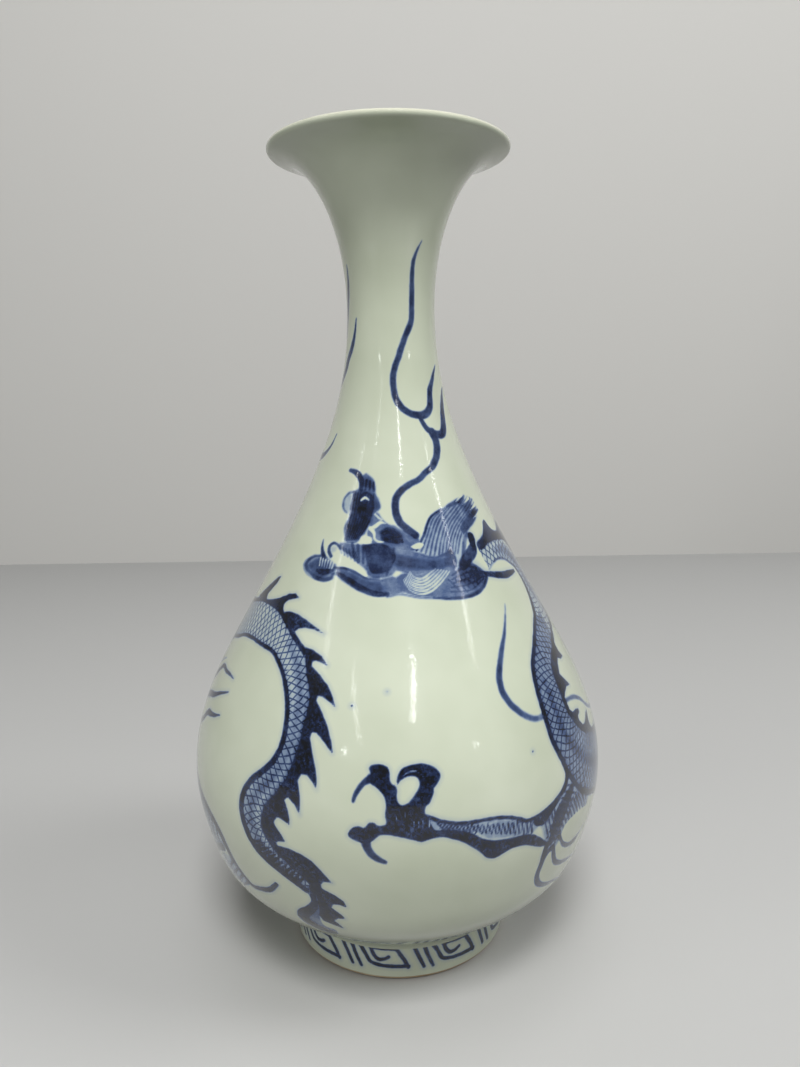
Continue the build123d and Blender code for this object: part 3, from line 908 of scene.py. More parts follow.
def neck_and_breast():
    """The nape behind the head with its first spines, and the scaled breast that turns down at the right."""
    nape = [(44.5, 152.8), (45, 155.3), (50, 156.6), (53, 157.7), (55.5, 159.7), (58, 161.4), (60.3, 161.7),
            (61.7, 160), (64, 158.2), (67.5, 157.2), (70, 157), (74, 158), (78, 159.8), (80, 160), (80.5, 157.5),
            (84, 153), (89, 148), (92, 141), (93, 133), (90, 127), (86, 128.5), (87.5, 134), (86, 141), (81, 148),
            (76, 152.4), (72, 153.5), (67, 154.3), (62, 154.5), (57, 154.5), (53, 154.2), (48, 153)]
    breast = [(46.2, 147), (52, 148.3), (57, 148.7), (62, 148), (66, 146.4), (70, 144.4), (71.2, 141.5), (71.3, 138),
              (69, 134), (65, 129.4), (60, 126.4)]
    marks = [
        area(nape, "wash"),
        area(nape, "deep"),
        stroke([(48, 155), (54, 156.2), (62, 156), (70, 155.2), (77, 154)], [1.0, 2.0, 1.6, 1.2, 0.6], "mist"),
        stroke([(58, 151.4), (66, 150.8), (74, 147.4), (78, 141), (78, 134)], [1.0, 3.0, 4.0, 4.0], "mist"),
        stroke([(46, 146.4)] + breast[1:6], [0.4, 0.8, 1.0, 1.2, 1.6], "wash"),
        *soft(breast[5:10], [1.6, 1.8, 2.0]),
    ]
    marks += skin(breast, [(44.6, 153), (53, 154.4), (62, 154.8), (70, 153.8), (78, 150), (84, 143), (87, 134),
                           (84, 127), (76, 122)])
    return marks


def right_body():
    """The near side of the trunk on the right, with its dark comb of hooked spines."""
    belly_side = [(71.3, 138), (69, 134), (65, 129.4), (60, 126.4), (55, 122.8), (51, 119.4), (48, 116.7),
                  (46.2, 113.3), (45, 108.9), (44.5, 104.4), (44.3, 98.9), (44.5, 93.9), (45.5, 90), (46.8, 86.1),
                  (48, 82.2), (50, 78.9), (52.5, 75), (56, 71.7), (60, 68.9), (65, 66.7), (70, 64.4), (80, 62.5),
                  (92, 61)]
    back_side = [(74, 121.7), (70, 120.8), (65, 118.3), (60, 116.1), (57.5, 113.9), (55.8, 111.1), (55.3, 106.7),
                 (55, 102.2), (55.5, 97.8), (57.5, 93.9), (60, 90.6), (63, 88.3), (67.5, 86.7), (72.5, 85.3)]
    comb = [(70, 87.2), (69, 88.9), (68.6, 91), (70, 93.6), (68, 93.4), (66, 92.2), (64.3, 91.4), (62.5, 91.7),
            (60.8, 93.9), (61, 95.5), (63, 96), (62.8, 97), (61, 97.6), (58.5, 97.6), (57.2, 98.9), (57, 101.1),
            (57, 103), (58.5, 104.4), (61, 105.3), (63.8, 105), (62, 107.2), (60, 109.8), (62.5, 112.8),
            (64.5, 113.9), (66.5, 112.8), (69.7, 112.9), (68, 115), (68.2, 117.8), (71.5, 119.4), (74, 120.6)]
    marks = skin(belly_side, [(84, 127)] + back_side + [(80, 83), (92, 80.5)])
    marks += [
        area(back_side + comb, "line", corners=True),
        stroke([(73, 121.2), (79, 123), (84, 127), (88, 131)], [1.2, 2.6, 3.0]),
        stroke([(71, 86), (80, 83.6), (92, 81)], [2.2, 3.0, 3.2]),
        stroke(belly_side[:16], [1.4, 1.6, 1.8, 1.9, 1.9, 1.9]),
        stroke(belly_side[14:], [1.8, 1.8, 1.6, 1.6]),
        area([(71.5, 129)] + belly_side[3:] + [(104, 60), (118, 63), (130, 70), (117, 76), (103, 75.5), (92, 80),
             (80, 83)] + back_side[:0:-1], "pale"),
        stroke([(49.8, 110), (49.8, 104), (50, 99), (51, 93), (54, 87), (60, 81), (68, 76), (78, 72.5)],
               [0.2, 0.6, 1.0, 1.6, 2.0, 2.0], "mist"),
    ]
    return marks


def whisker():
    """The long whisker that hangs from the jaw, and the lock that trails behind the trunk."""
    return [
        stroke([(47, 135.3), (44.5, 132.2), (40, 126.7), (36.5, 122.8), (33.5, 118.3), (32, 115), (31.8, 111.7),
               (33, 108.3), (35.5, 105), (38.5, 102.5), (41.5, 101.4), (44.5, 101.7)],
               [0.4, 1.2, 2.0, 2.5, 2.6, 2.4, 1.9], "wash"),
        stroke([(44.5, 132.2), (40, 126.7), (36.5, 122.8), (33.5, 118.3), (32, 115), (31.8, 111.7), (33, 108.3),
                (35.5, 105), (38.5, 102.5), (41.5, 101.4)], [0.4, 1.6, 2.2, 2.2, 1.0], "pale"),
        stroke([(56.5, 102), (60, 101.7), (64, 100.6), (68, 98.3), (71.5, 95), (75, 92.8), (80, 90.8), (85, 88.3),
                (92, 88)], [1.7, 1.7, 1.4, 0.4], "wash"),
    ]


def foreleg():
    """The raised foreleg: two hooked toes and a heel, the long forearm, the elbow and its hair."""
    shin = [(38.8, 62.5), (36, 65.8), (33, 68), (29, 68.8), (25, 69.3), (22, 70), (19, 71.8), (17.5, 73.3),
            (15.1, 74.7), (12.8, 75.3), (10.5, 75.8), (8.2, 76.2), (7.2, 78.2), (6.8, 80), (6, 81.6), (6.3, 83.4),
            (7.2, 84.2), (7.7, 85.6), (8.3, 87.2), (8.2, 88.3), (9.1, 89.4), (10.1, 91.2), (9.9, 92.8), (8.5, 94.5),
            (6.6, 95.3), (4.5, 95.4), (2.4, 95), (0.85, 94.1), (0.1, 92.6), (-0.3, 91), (-0.1, 90), (0.3, 90.7),
            (1.2, 91.7), (3, 92.3), (4.3, 92), (5, 90.9), (5.1, 89.7), (4.5, 88.1), (3.5, 86.3), (2.4, 84.7),
            (1.2, 84), (0.4, 84.3), (-0.2, 85.2), (-0.4, 86.5), (-0.2, 88.1), (-0.6, 89.4), (-1.5, 90.2),
            (-2, 91.4), (-2, 93), (-2.6, 94.8), (-4.5, 95.5), (-6.3, 95.3), (-6.9, 94.3), (-6.5, 93), (-6.1, 91.6),
            (-6.4, 90.2), (-5.7, 89.6), (-4.7, 88.6), (-3.6, 87.2), (-3, 85.6), (-2.8, 83.8), (-3, 81.9), (-2.9, 80),
            (-2.9, 78.3), (-4.7, 78), (-5.5, 78.8), (-6.5, 78.9), (-7.2, 78.1), (-7.9, 77.2), (-9, 77.6),
            (-10.3, 77.2), (-11.1, 76.3), (-11.6, 75), (-11.1, 73.8), (-9.7, 73.1), (-8.4, 72.6), (-6.4, 73),
            (-5.3, 74.1), (-4.3, 75.2), (-2.6, 75.3), (-1.1, 75), (0.5, 74.5), (2.4, 73.9), (3.9, 73.4), (5.1, 72.8),
            (6.6, 73.3), (8.5, 73.8), (10.5, 73.6), (12.4, 72.8), (14.3, 71.7), (16.2, 70), (18.8, 67.2),
            (20.8, 64.6), (23, 63.6), (25.5, 64.6), (28, 65.3), (31, 65), (33.5, 63.8), (36, 62.2), (38.5, 61.3)]
    elbow = [(36, 71), (40, 73), (46, 78), (50, 80), (52.5, 75), (56, 71.7), (60, 69), (58, 65), (54, 67), (50, 65.6),
             (47, 64), (45, 61), (43.5, 58), (41, 57.5), (39, 61), (37.5, 65)]
    marks = [
        area(shin, "line"),
        *soft([(-10.5, 84.8), (-10.1, 86.6), (-9.3, 88.5), (-8.1, 90.3), (-6.4, 91.7)], [0.9, 1.3, 1.5, 1.8, 2.6]),
        *soft([(-7.6, 74), (-7.3, 71.5), (-6.4, 69.2), (-5, 67.6), (-3.2, 66.4)], [3.2, 2.8, 2.4, 2.0, 1.3]),
        stroke([(-7.6, 75), (-7.3, 71.5), (-6.2, 69)], [3.0, 1.8, 0.6], "deep"),
        stroke([(1, 92.2), (2.8, 93.4), (4.7, 93.4), (6, 92)], [0.1, 0.4, 0.4, 0.1], "clear"),
        stroke([(1.2, 83.2), (1.6, 80.4)], [0.1, 0.1], "clear"),
        stroke([(-0.6, 81), (-0.4, 79.6)], [0.1, 0.1], "clear"),
        area([(5.6, 80.6), (8, 79.4), (12, 77.6), (20, 76.8), (26, 75.6), (30, 73.8), (34, 72.4), (36, 70),
              (33, 68), (27, 69.2), (21, 70.6), (17, 74), (8, 76)], "pale"),
        stroke([(48, 82.2), (47, 79.4), (45, 77.2), (42, 75.3), (38.5, 73.9), (35, 73), (32, 73), (30, 74.2),
                (27.5, 75.6), (24, 76.7), (20, 77), (15, 77.2), (12.6, 77.7), (9.6, 78.7), (6.6, 80.5)],
               [2.2, 1.8, 1.3, 1.1, 1.0, 1.0, 1.1]),
        area([(48, 81.5), (46, 78.5), (42, 75.5), (38, 73.5), (34, 72.5), (35, 70), (38, 69.5), (40, 72), (43, 74.5),
              (47, 78.5)], "line"),
        area(elbow, "pale"),
        stroke([(41, 61), (42, 66), (44.6, 71), (49, 76)], [2.0, 5.0, 6.0, 3.0], "wash"),
        area([(45, 62), (46.5, 64.8), (50, 66), (55, 65.8), (59, 64.5), (62, 62), (60, 59), (56, 57.3), (51, 57),
              (47, 58.3)], "clear"),
        *soft([(42, 59), (39.5, 57), (38.4, 53), (38.2, 49.5), (39.2, 46.5), (41.5, 44), (45, 42), (50, 40.3),
               (54, 39)], [2.2, 2.4, 2.2, 1.6, 0.6]),
        *soft([(42.5, 58), (43.5, 54.5), (45, 51.5), (47.5, 49.3), (51, 47.8), (55, 46.6), (60, 45.2)],
              [1.8, 2.0, 1.3, 0.4]),
        stroke([(39.5, 61), (38.7, 56.5), (38.4, 52)], [2.6, 2.0, 0.6]),
        *soft([(44, 62), (45.4, 59.8), (47.2, 57), (50, 55), (54, 54.2), (57, 55.5), (60, 57)],
              [1.2, 1.6, 1.6, 1.8, 1.0, 0.4]),
        stroke([(52.6, 54.2), (55.2, 54.4)], [2.0, 1.8]),
    ]
    marks += [stroke([(a, 77 + 0.1 * lean), (a + 0.1 * lean, 79.2 - 0.1 * lean)], [0.3, 0.5, 0.3], "clear")
              for a, lean in ((3.4, 1), (4.6, 0), (5.7, -1), (6.9, 2))]
    marks += bundle([(9, 78), (10.4, 76)], [(33, 72.6), (33.6, 68.4)], 19, [0.5, 0.55])
    marks += bundle([(37.4, 72), (39.2, 65), (41.5, 59.5)], [(55, 73), (57, 70), (58.5, 66)], 14, [0.7, 0.55, 0.4])
    marks += bundle([(39, 64), (43, 61.5)], [(46, 79), (53, 75)], 9, [0.5, 0.5])
    return marks


def tail_body():
    """The near side of the trunk and tail on the left, with its comb of flame-shaped spines."""
    inner = [(-104, 113), (-95, 114), (-85, 116.3), (-80, 118.8), (-73.3, 120.6), (-67.8, 122.5), (-62.2, 123.3),
             (-56.7, 123.3), (-50, 122.8), (-45, 122.2), (-41.1, 120.3), (-37.8, 117.8), (-35, 114.4),
             (-32.8, 110.6), (-31.4, 106.3), (-30.8, 101.3), (-31.1, 96.9), (-32.8, 92.5), (-35, 89.4),
             (-37.8, 86.3), (-40, 83.1), (-41.4, 79.4), (-41.7, 75), (-40.8, 70.6), (-39.2, 66.3), (-36.7, 62.5),
             (-33.9, 60), (-30, 57.3), (-26.1, 54.5), (-23.3, 52.3)]
    dorsal = [(-104, 130), (-92, 130.4), (-82, 131.8), (-75, 133.2), (-70, 134.2), (-63, 135), (-55, 134.7),
              (-50, 134), (-46, 132.6), (-42, 130.6), (-38, 128.2), (-34, 125.9), (-31, 124)]
    band = [(-29.5, 121), (-28.3, 118), (-26.6, 115.5), (-25.2, 112), (-25.2, 108), (-25.6, 103), (-26, 98),
            (-26.8, 93), (-28, 89), (-29.5, 86), (-31.5, 82.5), (-33.8, 79), (-34.8, 75.5), (-35, 72), (-34, 69),
            (-32.5, 66.5), (-31, 64.5), (-28.5, 62), (-25.5, 59), (-23, 56.3), (-21.6, 54)]
    comb = [(-21, 51), (-20.8, 48), (-21, 45), (-21.3, 42.6), (-20.6, 40.2), (-19, 39.6), (-17, 38.8), (-15.3, 37.9),
            (-16.3, 40), (-17.5, 41.4), (-16, 42.8), (-14.2, 43), (-14.9, 44.5), (-16.3, 45.9), (-17.4, 47.2),
            (-16.8, 48.8), (-15, 49), (-13.3, 48.3), (-13.9, 50.6), (-15.6, 52.3), (-17.6, 53.6), (-19, 54.6),
            (-19.2, 56), (-18.4, 57.4), (-16.1, 57.5), (-17.3, 59.2), (-18.8, 61.6), (-20.8, 64.3), (-23.6, 66),
            (-27, 66.9), (-29.9, 66.8), (-30.4, 67.6), (-29.6, 68.5), (-27.7, 68.9), (-28.7, 71), (-30.3, 73.3),
            (-30.9, 74.6), (-29.8, 76.4), (-28.2, 76), (-26.4, 74.9), (-26.4, 76.8), (-26.9, 79.4), (-28, 82.2),
            (-27.2, 83.4), (-25.2, 81.6), (-23.6, 78.8), (-23.7, 82), (-24.1, 85.5), (-24.8, 88.8), (-24, 90.8),
            (-22.4, 90.8), (-21, 89.2), (-19.7, 87.2), (-19.9, 90.4), (-20.7, 94), (-21.9, 97.5), (-23, 101),
            (-22.8, 102.8), (-21.4, 102.8), (-19.4, 101), (-16.4, 97.9), (-17.1, 101.2), (-18.6, 104.8),
            (-20.7, 108.4), (-23.1, 111.4), (-23, 112.8), (-21.4, 112.7), (-19.5, 111.8), (-17.1, 110.2),
            (-18.4, 113), (-20.5, 115.9), (-23.6, 118.4), (-27.1, 120.5), (-27.3, 121.8), (-26, 122.3),
            (-24, 121.9), (-21.7, 121.2), (-24.4, 123.6), (-28, 125), (-31.4, 125.4)]
    marks = skin(inner, dorsal + band)
    marks += [
        stroke(inner, [1.1, 1.1, 1.2, 1.4, 1.7, 2.1, 2.2, 2.1]),
        stroke(dorsal, [2.4, 2.2, 1.4, 1.2, 1.5, 1.8]),
        area(dorsal[-1:] + band + comb, "line", corners=True),
        stroke(band[2:12], [0.5, 2.0, 2.4, 1.0], "mist"),
        area([(-74, 134.6), (-70, 137.6), (-65, 141), (-61.5, 143.2), (-59.5, 143.6), (-60.2, 141.6), (-62.2, 139.4),
              (-64.3, 137.2), (-63.4, 135.8), (-60, 135)], "line", corners=True),
        area([(-64, 135.3), (-58, 136.2), (-52.5, 137.6), (-48, 139.4), (-44.2, 140), (-41.4, 139), (-44, 138.4),
              (-47, 137.6), (-48.6, 136.2), (-48, 134.8), (-46, 133.4), (-50, 133.6)], "line", corners=True),
        area([(-47.5, 133.6), (-44, 134.5), (-39, 134.3), (-34, 133), (-29, 131.3), (-25.4, 129.9), (-29.5, 130.8),
              (-33.5, 130.9), (-36.5, 130.3), (-38, 129), (-42, 130.4)], "line", corners=True),
        stroke([(-38, 125.4), (-32.4, 120), (-28.8, 113), (-28, 107), (-28.1, 101), (-28.6, 96.5), (-30, 92),
                (-32, 88), (-34.6, 84.4), (-37.4, 80), (-38.4, 75.2), (-37.8, 71), (-36.2, 67), (-34, 63.7),
                (-31, 60.4), (-27.5, 57.4), (-24.4, 54.8)], [0.6, 1.4, 1.6, 1.8, 3.0, 2.6, 1.6, 0.6], "mist"),
        area([(-23.4, 55), (-21.6, 54), (-20.9, 51), (-20.8, 47), (-21.2, 43), (-21.4, 40), (-20.8, 37.4),
              (-18.5, 36.5), (-17.8, 34.5), (-19, 32.5), (-22, 32.4), (-25, 34), (-27.5, 36), (-28.8, 38.5),
              (-28.4, 41), (-26.5, 43.4), (-24, 45.5), (-22.7, 48), (-22.5, 51)], "wash"),
        stroke([(-21.8, 54), (-21.8, 50), (-22, 46.5), (-24, 43.5), (-26, 41), (-26.4, 38.4), (-24, 36), (-21.5, 34.4),
                (-19, 33.6)], [1.6, 1.6, 1.8, 2.6, 3.0, 3.4, 3.0, 3.0, 1.6]),
        stroke([(-23, 52), (-22.2, 48.5), (-24.5, 45), (-27.6, 42), (-28.2, 39)], [0.8, 1.0, 0.8, 1.0]),
        area([(-21.4, 40.2), (-19.5, 39.6), (-17.9, 38.2), (-18, 36.9), (-19.5, 36.6), (-21, 37.8)], "clear"),
    ]
    marks += bundle([(-38.6, 64.5), (-35.2, 66.5)], [(-25.4, 54.2), (-23.6, 57.6)], 12, [1.2, 0.5])
    marks += bundle([(-33.6, 69), (-29.8, 64)], [(-26, 62), (-20.5, 57)], 5, [1.0, 1.4])
    return marks


def left_marks():
    """Wisps inside the tail's loop, and the hind leg with its thigh that reaches round from the back."""
    marks = [
        stroke([(-92, 98.5), (-86, 101.6), (-82, 104), (-78.5, 106.5), (-75, 109.4), (-72, 110.4), (-68, 110.1),
                (-64, 110.3), (-59.7, 110)], [1.8, 2.2, 2.6, 2.0, 1.4, 1.1, 0.3]),
        stroke([(-90, 105.5), (-84, 108), (-79, 110.8), (-74.5, 112.6)], [1.6, 1.4, 1.1, 0.3], "wash"),
        stroke([(-94, 92.5), (-84, 96), (-78, 98.5), (-74, 100), (-70, 101.2), (-65, 103.5), (-59.4, 105.7)],
               [1.3, 1.7, 2.2, 2.4, 2.0, 1.2, 0.3]),
        stroke([(-92, 83.5), (-80, 88), (-75, 90.5), (-72, 93.3), (-69.5, 95.3), (-66.5, 95.8), (-63, 96.8),
                (-59.6, 98.1)], [1.5, 1.7, 1.7, 2.0, 2.4, 1.6, 0.3]),
        stroke([(-84, 80), (-78, 75.5), (-72, 71.5), (-68, 69), (-64, 67), (-60, 65), (-56, 62.5), (-53.5, 59.5),
                (-52, 56), (-50.6, 52.4), (-48.6, 49), (-46, 46.2), (-43.6, 44.3), (-41, 44.9), (-38, 46),
                (-35.4, 47.6), (-33.6, 49.8), (-32.7, 51)],
               [2.6, 3.0, 3.4, 3.2, 2.8, 3.0, 3.4, 3.0, 2.0, 1.6, 2.0, 1.6]),
        stroke([(-54.6, 53.6), (-58, 51.6), (-62, 48.8), (-66, 46.2), (-72, 43), (-80, 39)], [3.0, 2.6, 2.4, 2.0]),
        area([(-84, 79), (-72, 70), (-62, 65.5), (-55, 60.5), (-53, 55), (-58, 52), (-66, 47), (-76, 42), (-86, 44)],
             "pale"),
        area([(-52, 52), (-47, 46.5), (-45, 44), (-50, 41), (-58, 41.5), (-61, 45), (-57, 50)], "pale"),
    ]
    front = [(-84, 80), (-90, 86), (-97, 95), (-103, 105), (-107, 114)]
    back = [(-80, 39), (-88, 40.5), (-97, 47), (-105, 60), (-112, 78), (-118, 95), (-124, 109)]
    middle = [(-82, 59.5), (-90, 63), (-97.5, 72), (-105, 85), (-111, 97), (-115.5, 111)]
    marks += [
        stroke(front, [2.6, 2.4, 2.0]),
        stroke(back, [2.0, 2.4, 2.6, 2.2]),
    ]
    marks += bundle([(-56, 61.5), (-56.5, 55)], [(-80, 74), (-84, 46)], 11, [1.1, 0.6])
    marks += skin(front, middle) + skin(middle, back)
    marks += bundle([(-50.5, 50.5), (-55, 45)], [(-45.5, 44.8), (-50, 40.5)], 4, [1.0, 0.4])
    return marks


def back_of_vase():
    """The far side, which the photograph doesn't show: the trunk joins the breast to the tail, with legs and flames."""
    under = [(90, 61), (104, 58), (120, 59), (136, 64), (150, 73), (163, 84), (177, 95), (192, 104), (208, 110),
             (226, 112.5), (244, 113), (257, 113)]
    over = [(90, 80), (103, 77), (117, 78), (130, 84), (143, 93), (156, 103.5), (171, 114), (187, 122.5), (205, 128),
            (224, 130), (243, 130), (257, 130.2)]
    marks = skin(under, over)
    marks += [stroke(under, [1.5, 1.6, 1.7, 1.6, 1.5]), stroke(over, [3.0, 3.4, 3.6, 3.4, 3.0])]
    for a, h in resampled(over, SPINE_PLACES)[2:-2:4]:
        marks.append(stroke([(a - 1.5, h - 1.0), (a + 2.0, h + 3.4), (a + 5.5, h + 6.8)], [6.0, 3.6, 0.4]))
    marks += leg(150, 72, 1.0) + leg(232, 112, -1.0)
    marks += [
        stroke([(125, 150), (134, 158), (146, 161), (157, 156), (163, 146), (174, 141)], [0.4, 2.2, 2.6, 1.8, 0.4]),
        stroke([(134, 146), (143, 151), (151, 149), (156, 141)], [0.4, 1.8, 2.0, 0.4]),
        stroke([(196, 168), (206, 176), (219, 178), (229, 172), (236, 162)], [0.4, 2.0, 2.4, 0.4]),
        stroke([(206, 164), (215, 169), (224, 166), (229, 157)], [0.4, 1.6, 1.8, 0.4]),
        stroke([(118, 232), (112, 225), (118, 217), (131, 213), (146, 214), (158, 220), (171, 229)],
               [0.4, 1.4, 1.8, 2.2, 1.6, 0.4]),
        stroke([(146, 212), (150, 204), (162, 199), (178, 200), (192, 207)], [1.4, 2.0, 2.4, 0.4]),
        stroke([(212, 240), (218, 231), (230, 225), (246, 226), (258, 233)], [0.4, 1.4, 2.0, 0.4]),
    ]
    return marks


def leg(angle, height, turn):
    """A hind leg that springs from the trunk, with hatched shin, three claws and hair at the heel."""
    def at(points):
        """The points set beside the place where the leg springs, on the side that it turns to."""
        return [(angle + turn * a, height + h) for a, h in points]

    marks = [
        area(at([(-8, 4), (6, 8), (13, 0), (15, -10), (20, -17), (29, -20), (29, -24), (18, -23), (9, -17), (2, -8)]),
             "pale"),
        stroke(at([(6, 8), (13, 0), (15, -10), (20, -17), (29, -20)]), [1.4, 1.8, 1.6, 1.8]),
        stroke(at([(-8, 4), (2, -8), (9, -17), (18, -23), (29, -24)]), [1.6, 2.6, 3.0, 2.6]),
        stroke(at([(29, -22), (33, -22)]), [5.0, 4.0]),
        stroke(at([(32, -21), (36, -15), (41, -13), (45, -17)]), [3.4, 3.0, 2.8, 0.4]),
        stroke(at([(32, -22), (38, -22), (43, -24), (44, -29)]), [3.4, 3.0, 2.6, 0.4]),
        stroke(at([(31, -23), (34, -29), (38, -32), (42, -32)]), [3.2, 2.8, 2.4, 0.4]),
        stroke(at([(6, -14), (3, -22), (5, -29), (12, -34)]), [2.0, 2.2, 1.6, 0.4]),
    ]
    for i in range(8):
        a = 3 + 2.6 * i
        marks.append(stroke(at([(a + 3.5, 2 - 2.6 * i + 0.1 * i * i), (a, -6 - 2.4 * i + 0.1 * i * i)]), [1.0, 0.6]))
    return marks


def iron_specks():
    """Specks of iron that burnt through the glaze on the front of the belly."""
    return [stroke([(a, h), (a + 0.1, h)], [width, width])
            for a, h, width in ((-12.5, 111, 0.5), (36.5, 93, 0.4), (-2.8, 115, 0.3))]


def foot_fret():
    """Ten squared spirals round the foot, each followed by two slanting strokes, and each a little out of place."""
    rng = random.Random(5)
    unit = [
        stroke([(6.2, 14.2), (7.7, 11.3), (9.2, 8.7), (11.5, 4.8)], [1.5, 1.4, 1.1]),
        stroke([(11.5, 13.6), (13.1, 10), (14.6, 7.3), (16.2, 4.6)], [1.5, 1.4, 1.1]),
        stroke([(15.4, 14), (17.7, 11.3), (20, 8), (21.5, 6.7), (25.4, 5.9), (31, 5.6), (37, 5.6), (40.2, 5.6)],
               [1.5, 1.4, 1.3, 1.5, 1.4]),
        stroke([(21.4, 12.9), (27, 12.8), (33, 12.8), (34.6, 12.3), (36, 10.7), (38.3, 8), (40, 5.2)],
               [1.5, 1.4, 1.5, 1.4]),
        stroke([(21.4, 13), (23, 10), (25.2, 8.3), (28, 8.4), (30.4, 9.4)], [1.4, 1.4, 1.2]),
    ]
    marks = []
    for turn in range(FRET_UNITS):
        angle = 360 / FRET_UNITS * turn + rng.uniform(-FRET_SLIP, FRET_SLIP)
        marks += shifted(unit, angle, rng.uniform(-FRET_RISE, FRET_RISE))
    return marks


def shell_rows(outline, low, high, step):
    """Distances up the outside between two heights, evenly spaced."""
    start, stop = outline.run_at(low), outline.run_at(high)
    return np.linspace(start, stop, int((stop - start) / step) + 2)


def spun(name, profile, steps, material):
    """A closed profile of radius and height, in millimetres, turned once about the vase's axis."""
    bm = bmesh.new()
    verts = [bm.verts.new((0.0, -r * MM, z * MM)) for r, z in profile]
    edges = [bm.edges.new(pair) for pair in zip(verts, verts[1:] + verts[:1])]
    sector = 2 * math.pi / SECTORS
    bmesh.ops.spin(bm, geom=verts + edges, cent=(0, 0, 0), axis=(0, 0, 1), angle=sector, steps=steps // SECTORS)
    first = bm.verts[:] + bm.edges[:] + bm.faces[:]
    for turn in range(1, SECTORS):
        copied = bmesh.ops.duplicate(bm, geom=first)["geom"]
        moved = [part for part in copied if isinstance(part, bmesh.types.BMVert)]
        bmesh.ops.rotate(bm, verts=moved, cent=(0, 0, 0), matrix=Matrix.Rotation(sector * turn, 3, "Z"))
    bmesh.ops.remove_doubles(bm, verts=bm.verts, dist=SAME_PLACE * MM)
    bmesh.ops.recalc_face_normals(bm, faces=bm.faces)
    for face in bm.faces:
        face.smooth = True
    for edge in bm.edges:
        edge.smooth = edge.calc_face_angle(0.0) < math.radians(SMOOTH_TURN)
    return linked(name, bm, material)


def linked(name, bm, material):
    """An object in the scene from a finished bmesh."""
    mesh = bpy.data.meshes.new(name)
    bm.to_mesh(mesh)
    bm.free()
    mesh.materials.append(material)
    made = bpy.data.objects.new(name, mesh)
    bpy.context.scene.collection.objects.link(made)
    return made


def refinished(node, material):
    """Gives a node of the CAD model its material."""
    node.data.materials.clear()
    node.data.materials.append(material)


def placed(piece, node):
    """Makes a coat of glaze ride the vase's body and stand for a node of the CAD model."""
    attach(piece, ROOT_BODY)
    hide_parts(node)


def painted_shell(name, outline, rows, columns, material, marks, coat):
    """A band of the outer glaze as a thin closed shell, with the painting stored on its outer face.

    The outer face also takes its normals from the outline, so that the bands join without a seam in the gloss.
    """
    outer = outline.place_at(rows)
    facing = outline.facing_at(rows)
    back_rows = np.unique(np.r_[np.arange(0, len(rows), BACK_ROWS), len(rows) - 1])
    inner = outer[back_rows] - facing[back_rows] * (coat - 2 * MESH_ROOM)
    piece = spun(name, [tuple(p) for p in outer] + [tuple(p) for p in inner[::-1]], columns, material)
    canvas = Canvas(outline, rows, columns)
    for mark in marks:
        canvas.paint(mark)
        if np.abs(mark["line"][:, 0]).max() > SEAM_ANGLE:
            for turned in shifted([mark], -360) + shifted([mark], 360):
                canvas.paint(turned)
    mesh = piece.data
    co = np.empty(len(mesh.vertices) * 3, np.float32)
    mesh.vertices.foreach_get("co", co)
    co = co.reshape(-1, 3).astype(float) / MM
    radius = np.hypot(co[:, 0], co[:, 1])
    column = np.round(np.degrees(np.arctan2(co[:, 0], -co[:, 1])) * columns / 360).astype(int) % columns
    top = int(np.argmax(outer[:, 1]))
    row = np.round(np.interp(co[:, 2], outer[:top + 1, 1], np.arange(top + 1))).astype(int)
    painted = (np.abs(outer[row, 1] - co[:, 2]) < PAINTED_ROOM) & (np.abs(outer[row, 0] - radius) < PAINTED_ROOM)
    for layer, grid in canvas.layers.items():
        values = np.where(painted, grid[row, column], DRY if layer in LAYER_EDGES else 0.0)
        held = mesh.attributes.new(layer, "FLOAT", "POINT")
        held.data.foreach_set("value", np.clip(values, DRY, FAR_PAINT).astype(np.float32))
    facings = np.zeros((len(co), 3))
    away = facing[row][painted]
    facings[painted] = np.column_stack([away[:, :1] * co[painted, :2] / radius[painted, None], away[:, 1]])
    mesh.normals_split_custom_set_from_vertices(facings.tolist())
    return piece


class VASE_OT_clay(bpy.types.Operator):
    """Give the thrown clay sections and their slip joints their bare fired finish."""

    bl_idname = "vase.clay"
    bl_label = "Fired clay sections"

    def execute(self, context):
        c = context.scene.vase_colours
        bisque = fired_clay("fired_porcelain_clay", tuple(c.clay), "clay_pore", c)
        slip = fired_clay("fired_luting_slip", tuple(c.slip), "slip_pore", c)
        for name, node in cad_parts.items():
            if "glaze" not in name:
                refinished(node, slip if "slip" in name else bisque)
        return {"FINISHED"}


class VASE_OT_outer_glaze(bpy.types.Operator):
    """Build the painted glaze over the outside, in bands from the foot to the lip."""

    bl_idname = "vase.outer_glaze"
    bl_label = "Painted outer glaze"

    def execute(self, context):
        s = sizes()
        outline = Outline(s)
        material = painted_glaze("cobalt_under_celadon_glaze", context.scene.vase_colours)
        painting = (neck_flames, face, jaws, mane, neck_and_breast, right_body, whisker, foreleg, tail_body,
                    left_marks, back_of_vase, iron_specks, foot_fret)
        marks = [mark for part in painting for mark in part()]
        low = s.bare_rim_height
        for name, high, step, columns in BANDS:
            rows = shell_rows(outline, low, high, step)
            placed(painted_shell(name, outline, rows, columns, material, marks, s.glaze_thickness), "outer_glaze")
            low = high
        rows = np.linspace(outline.run_at(low), outline.run[-1], MOUTH_ROWS)
        mouth = painted_shell("glaze_mouth", outline, rows, MOUTH_COLUMNS, material, [], s.glaze_thickness)
        placed(mouth, "outer_glaze")
        return {"FINISHED"}


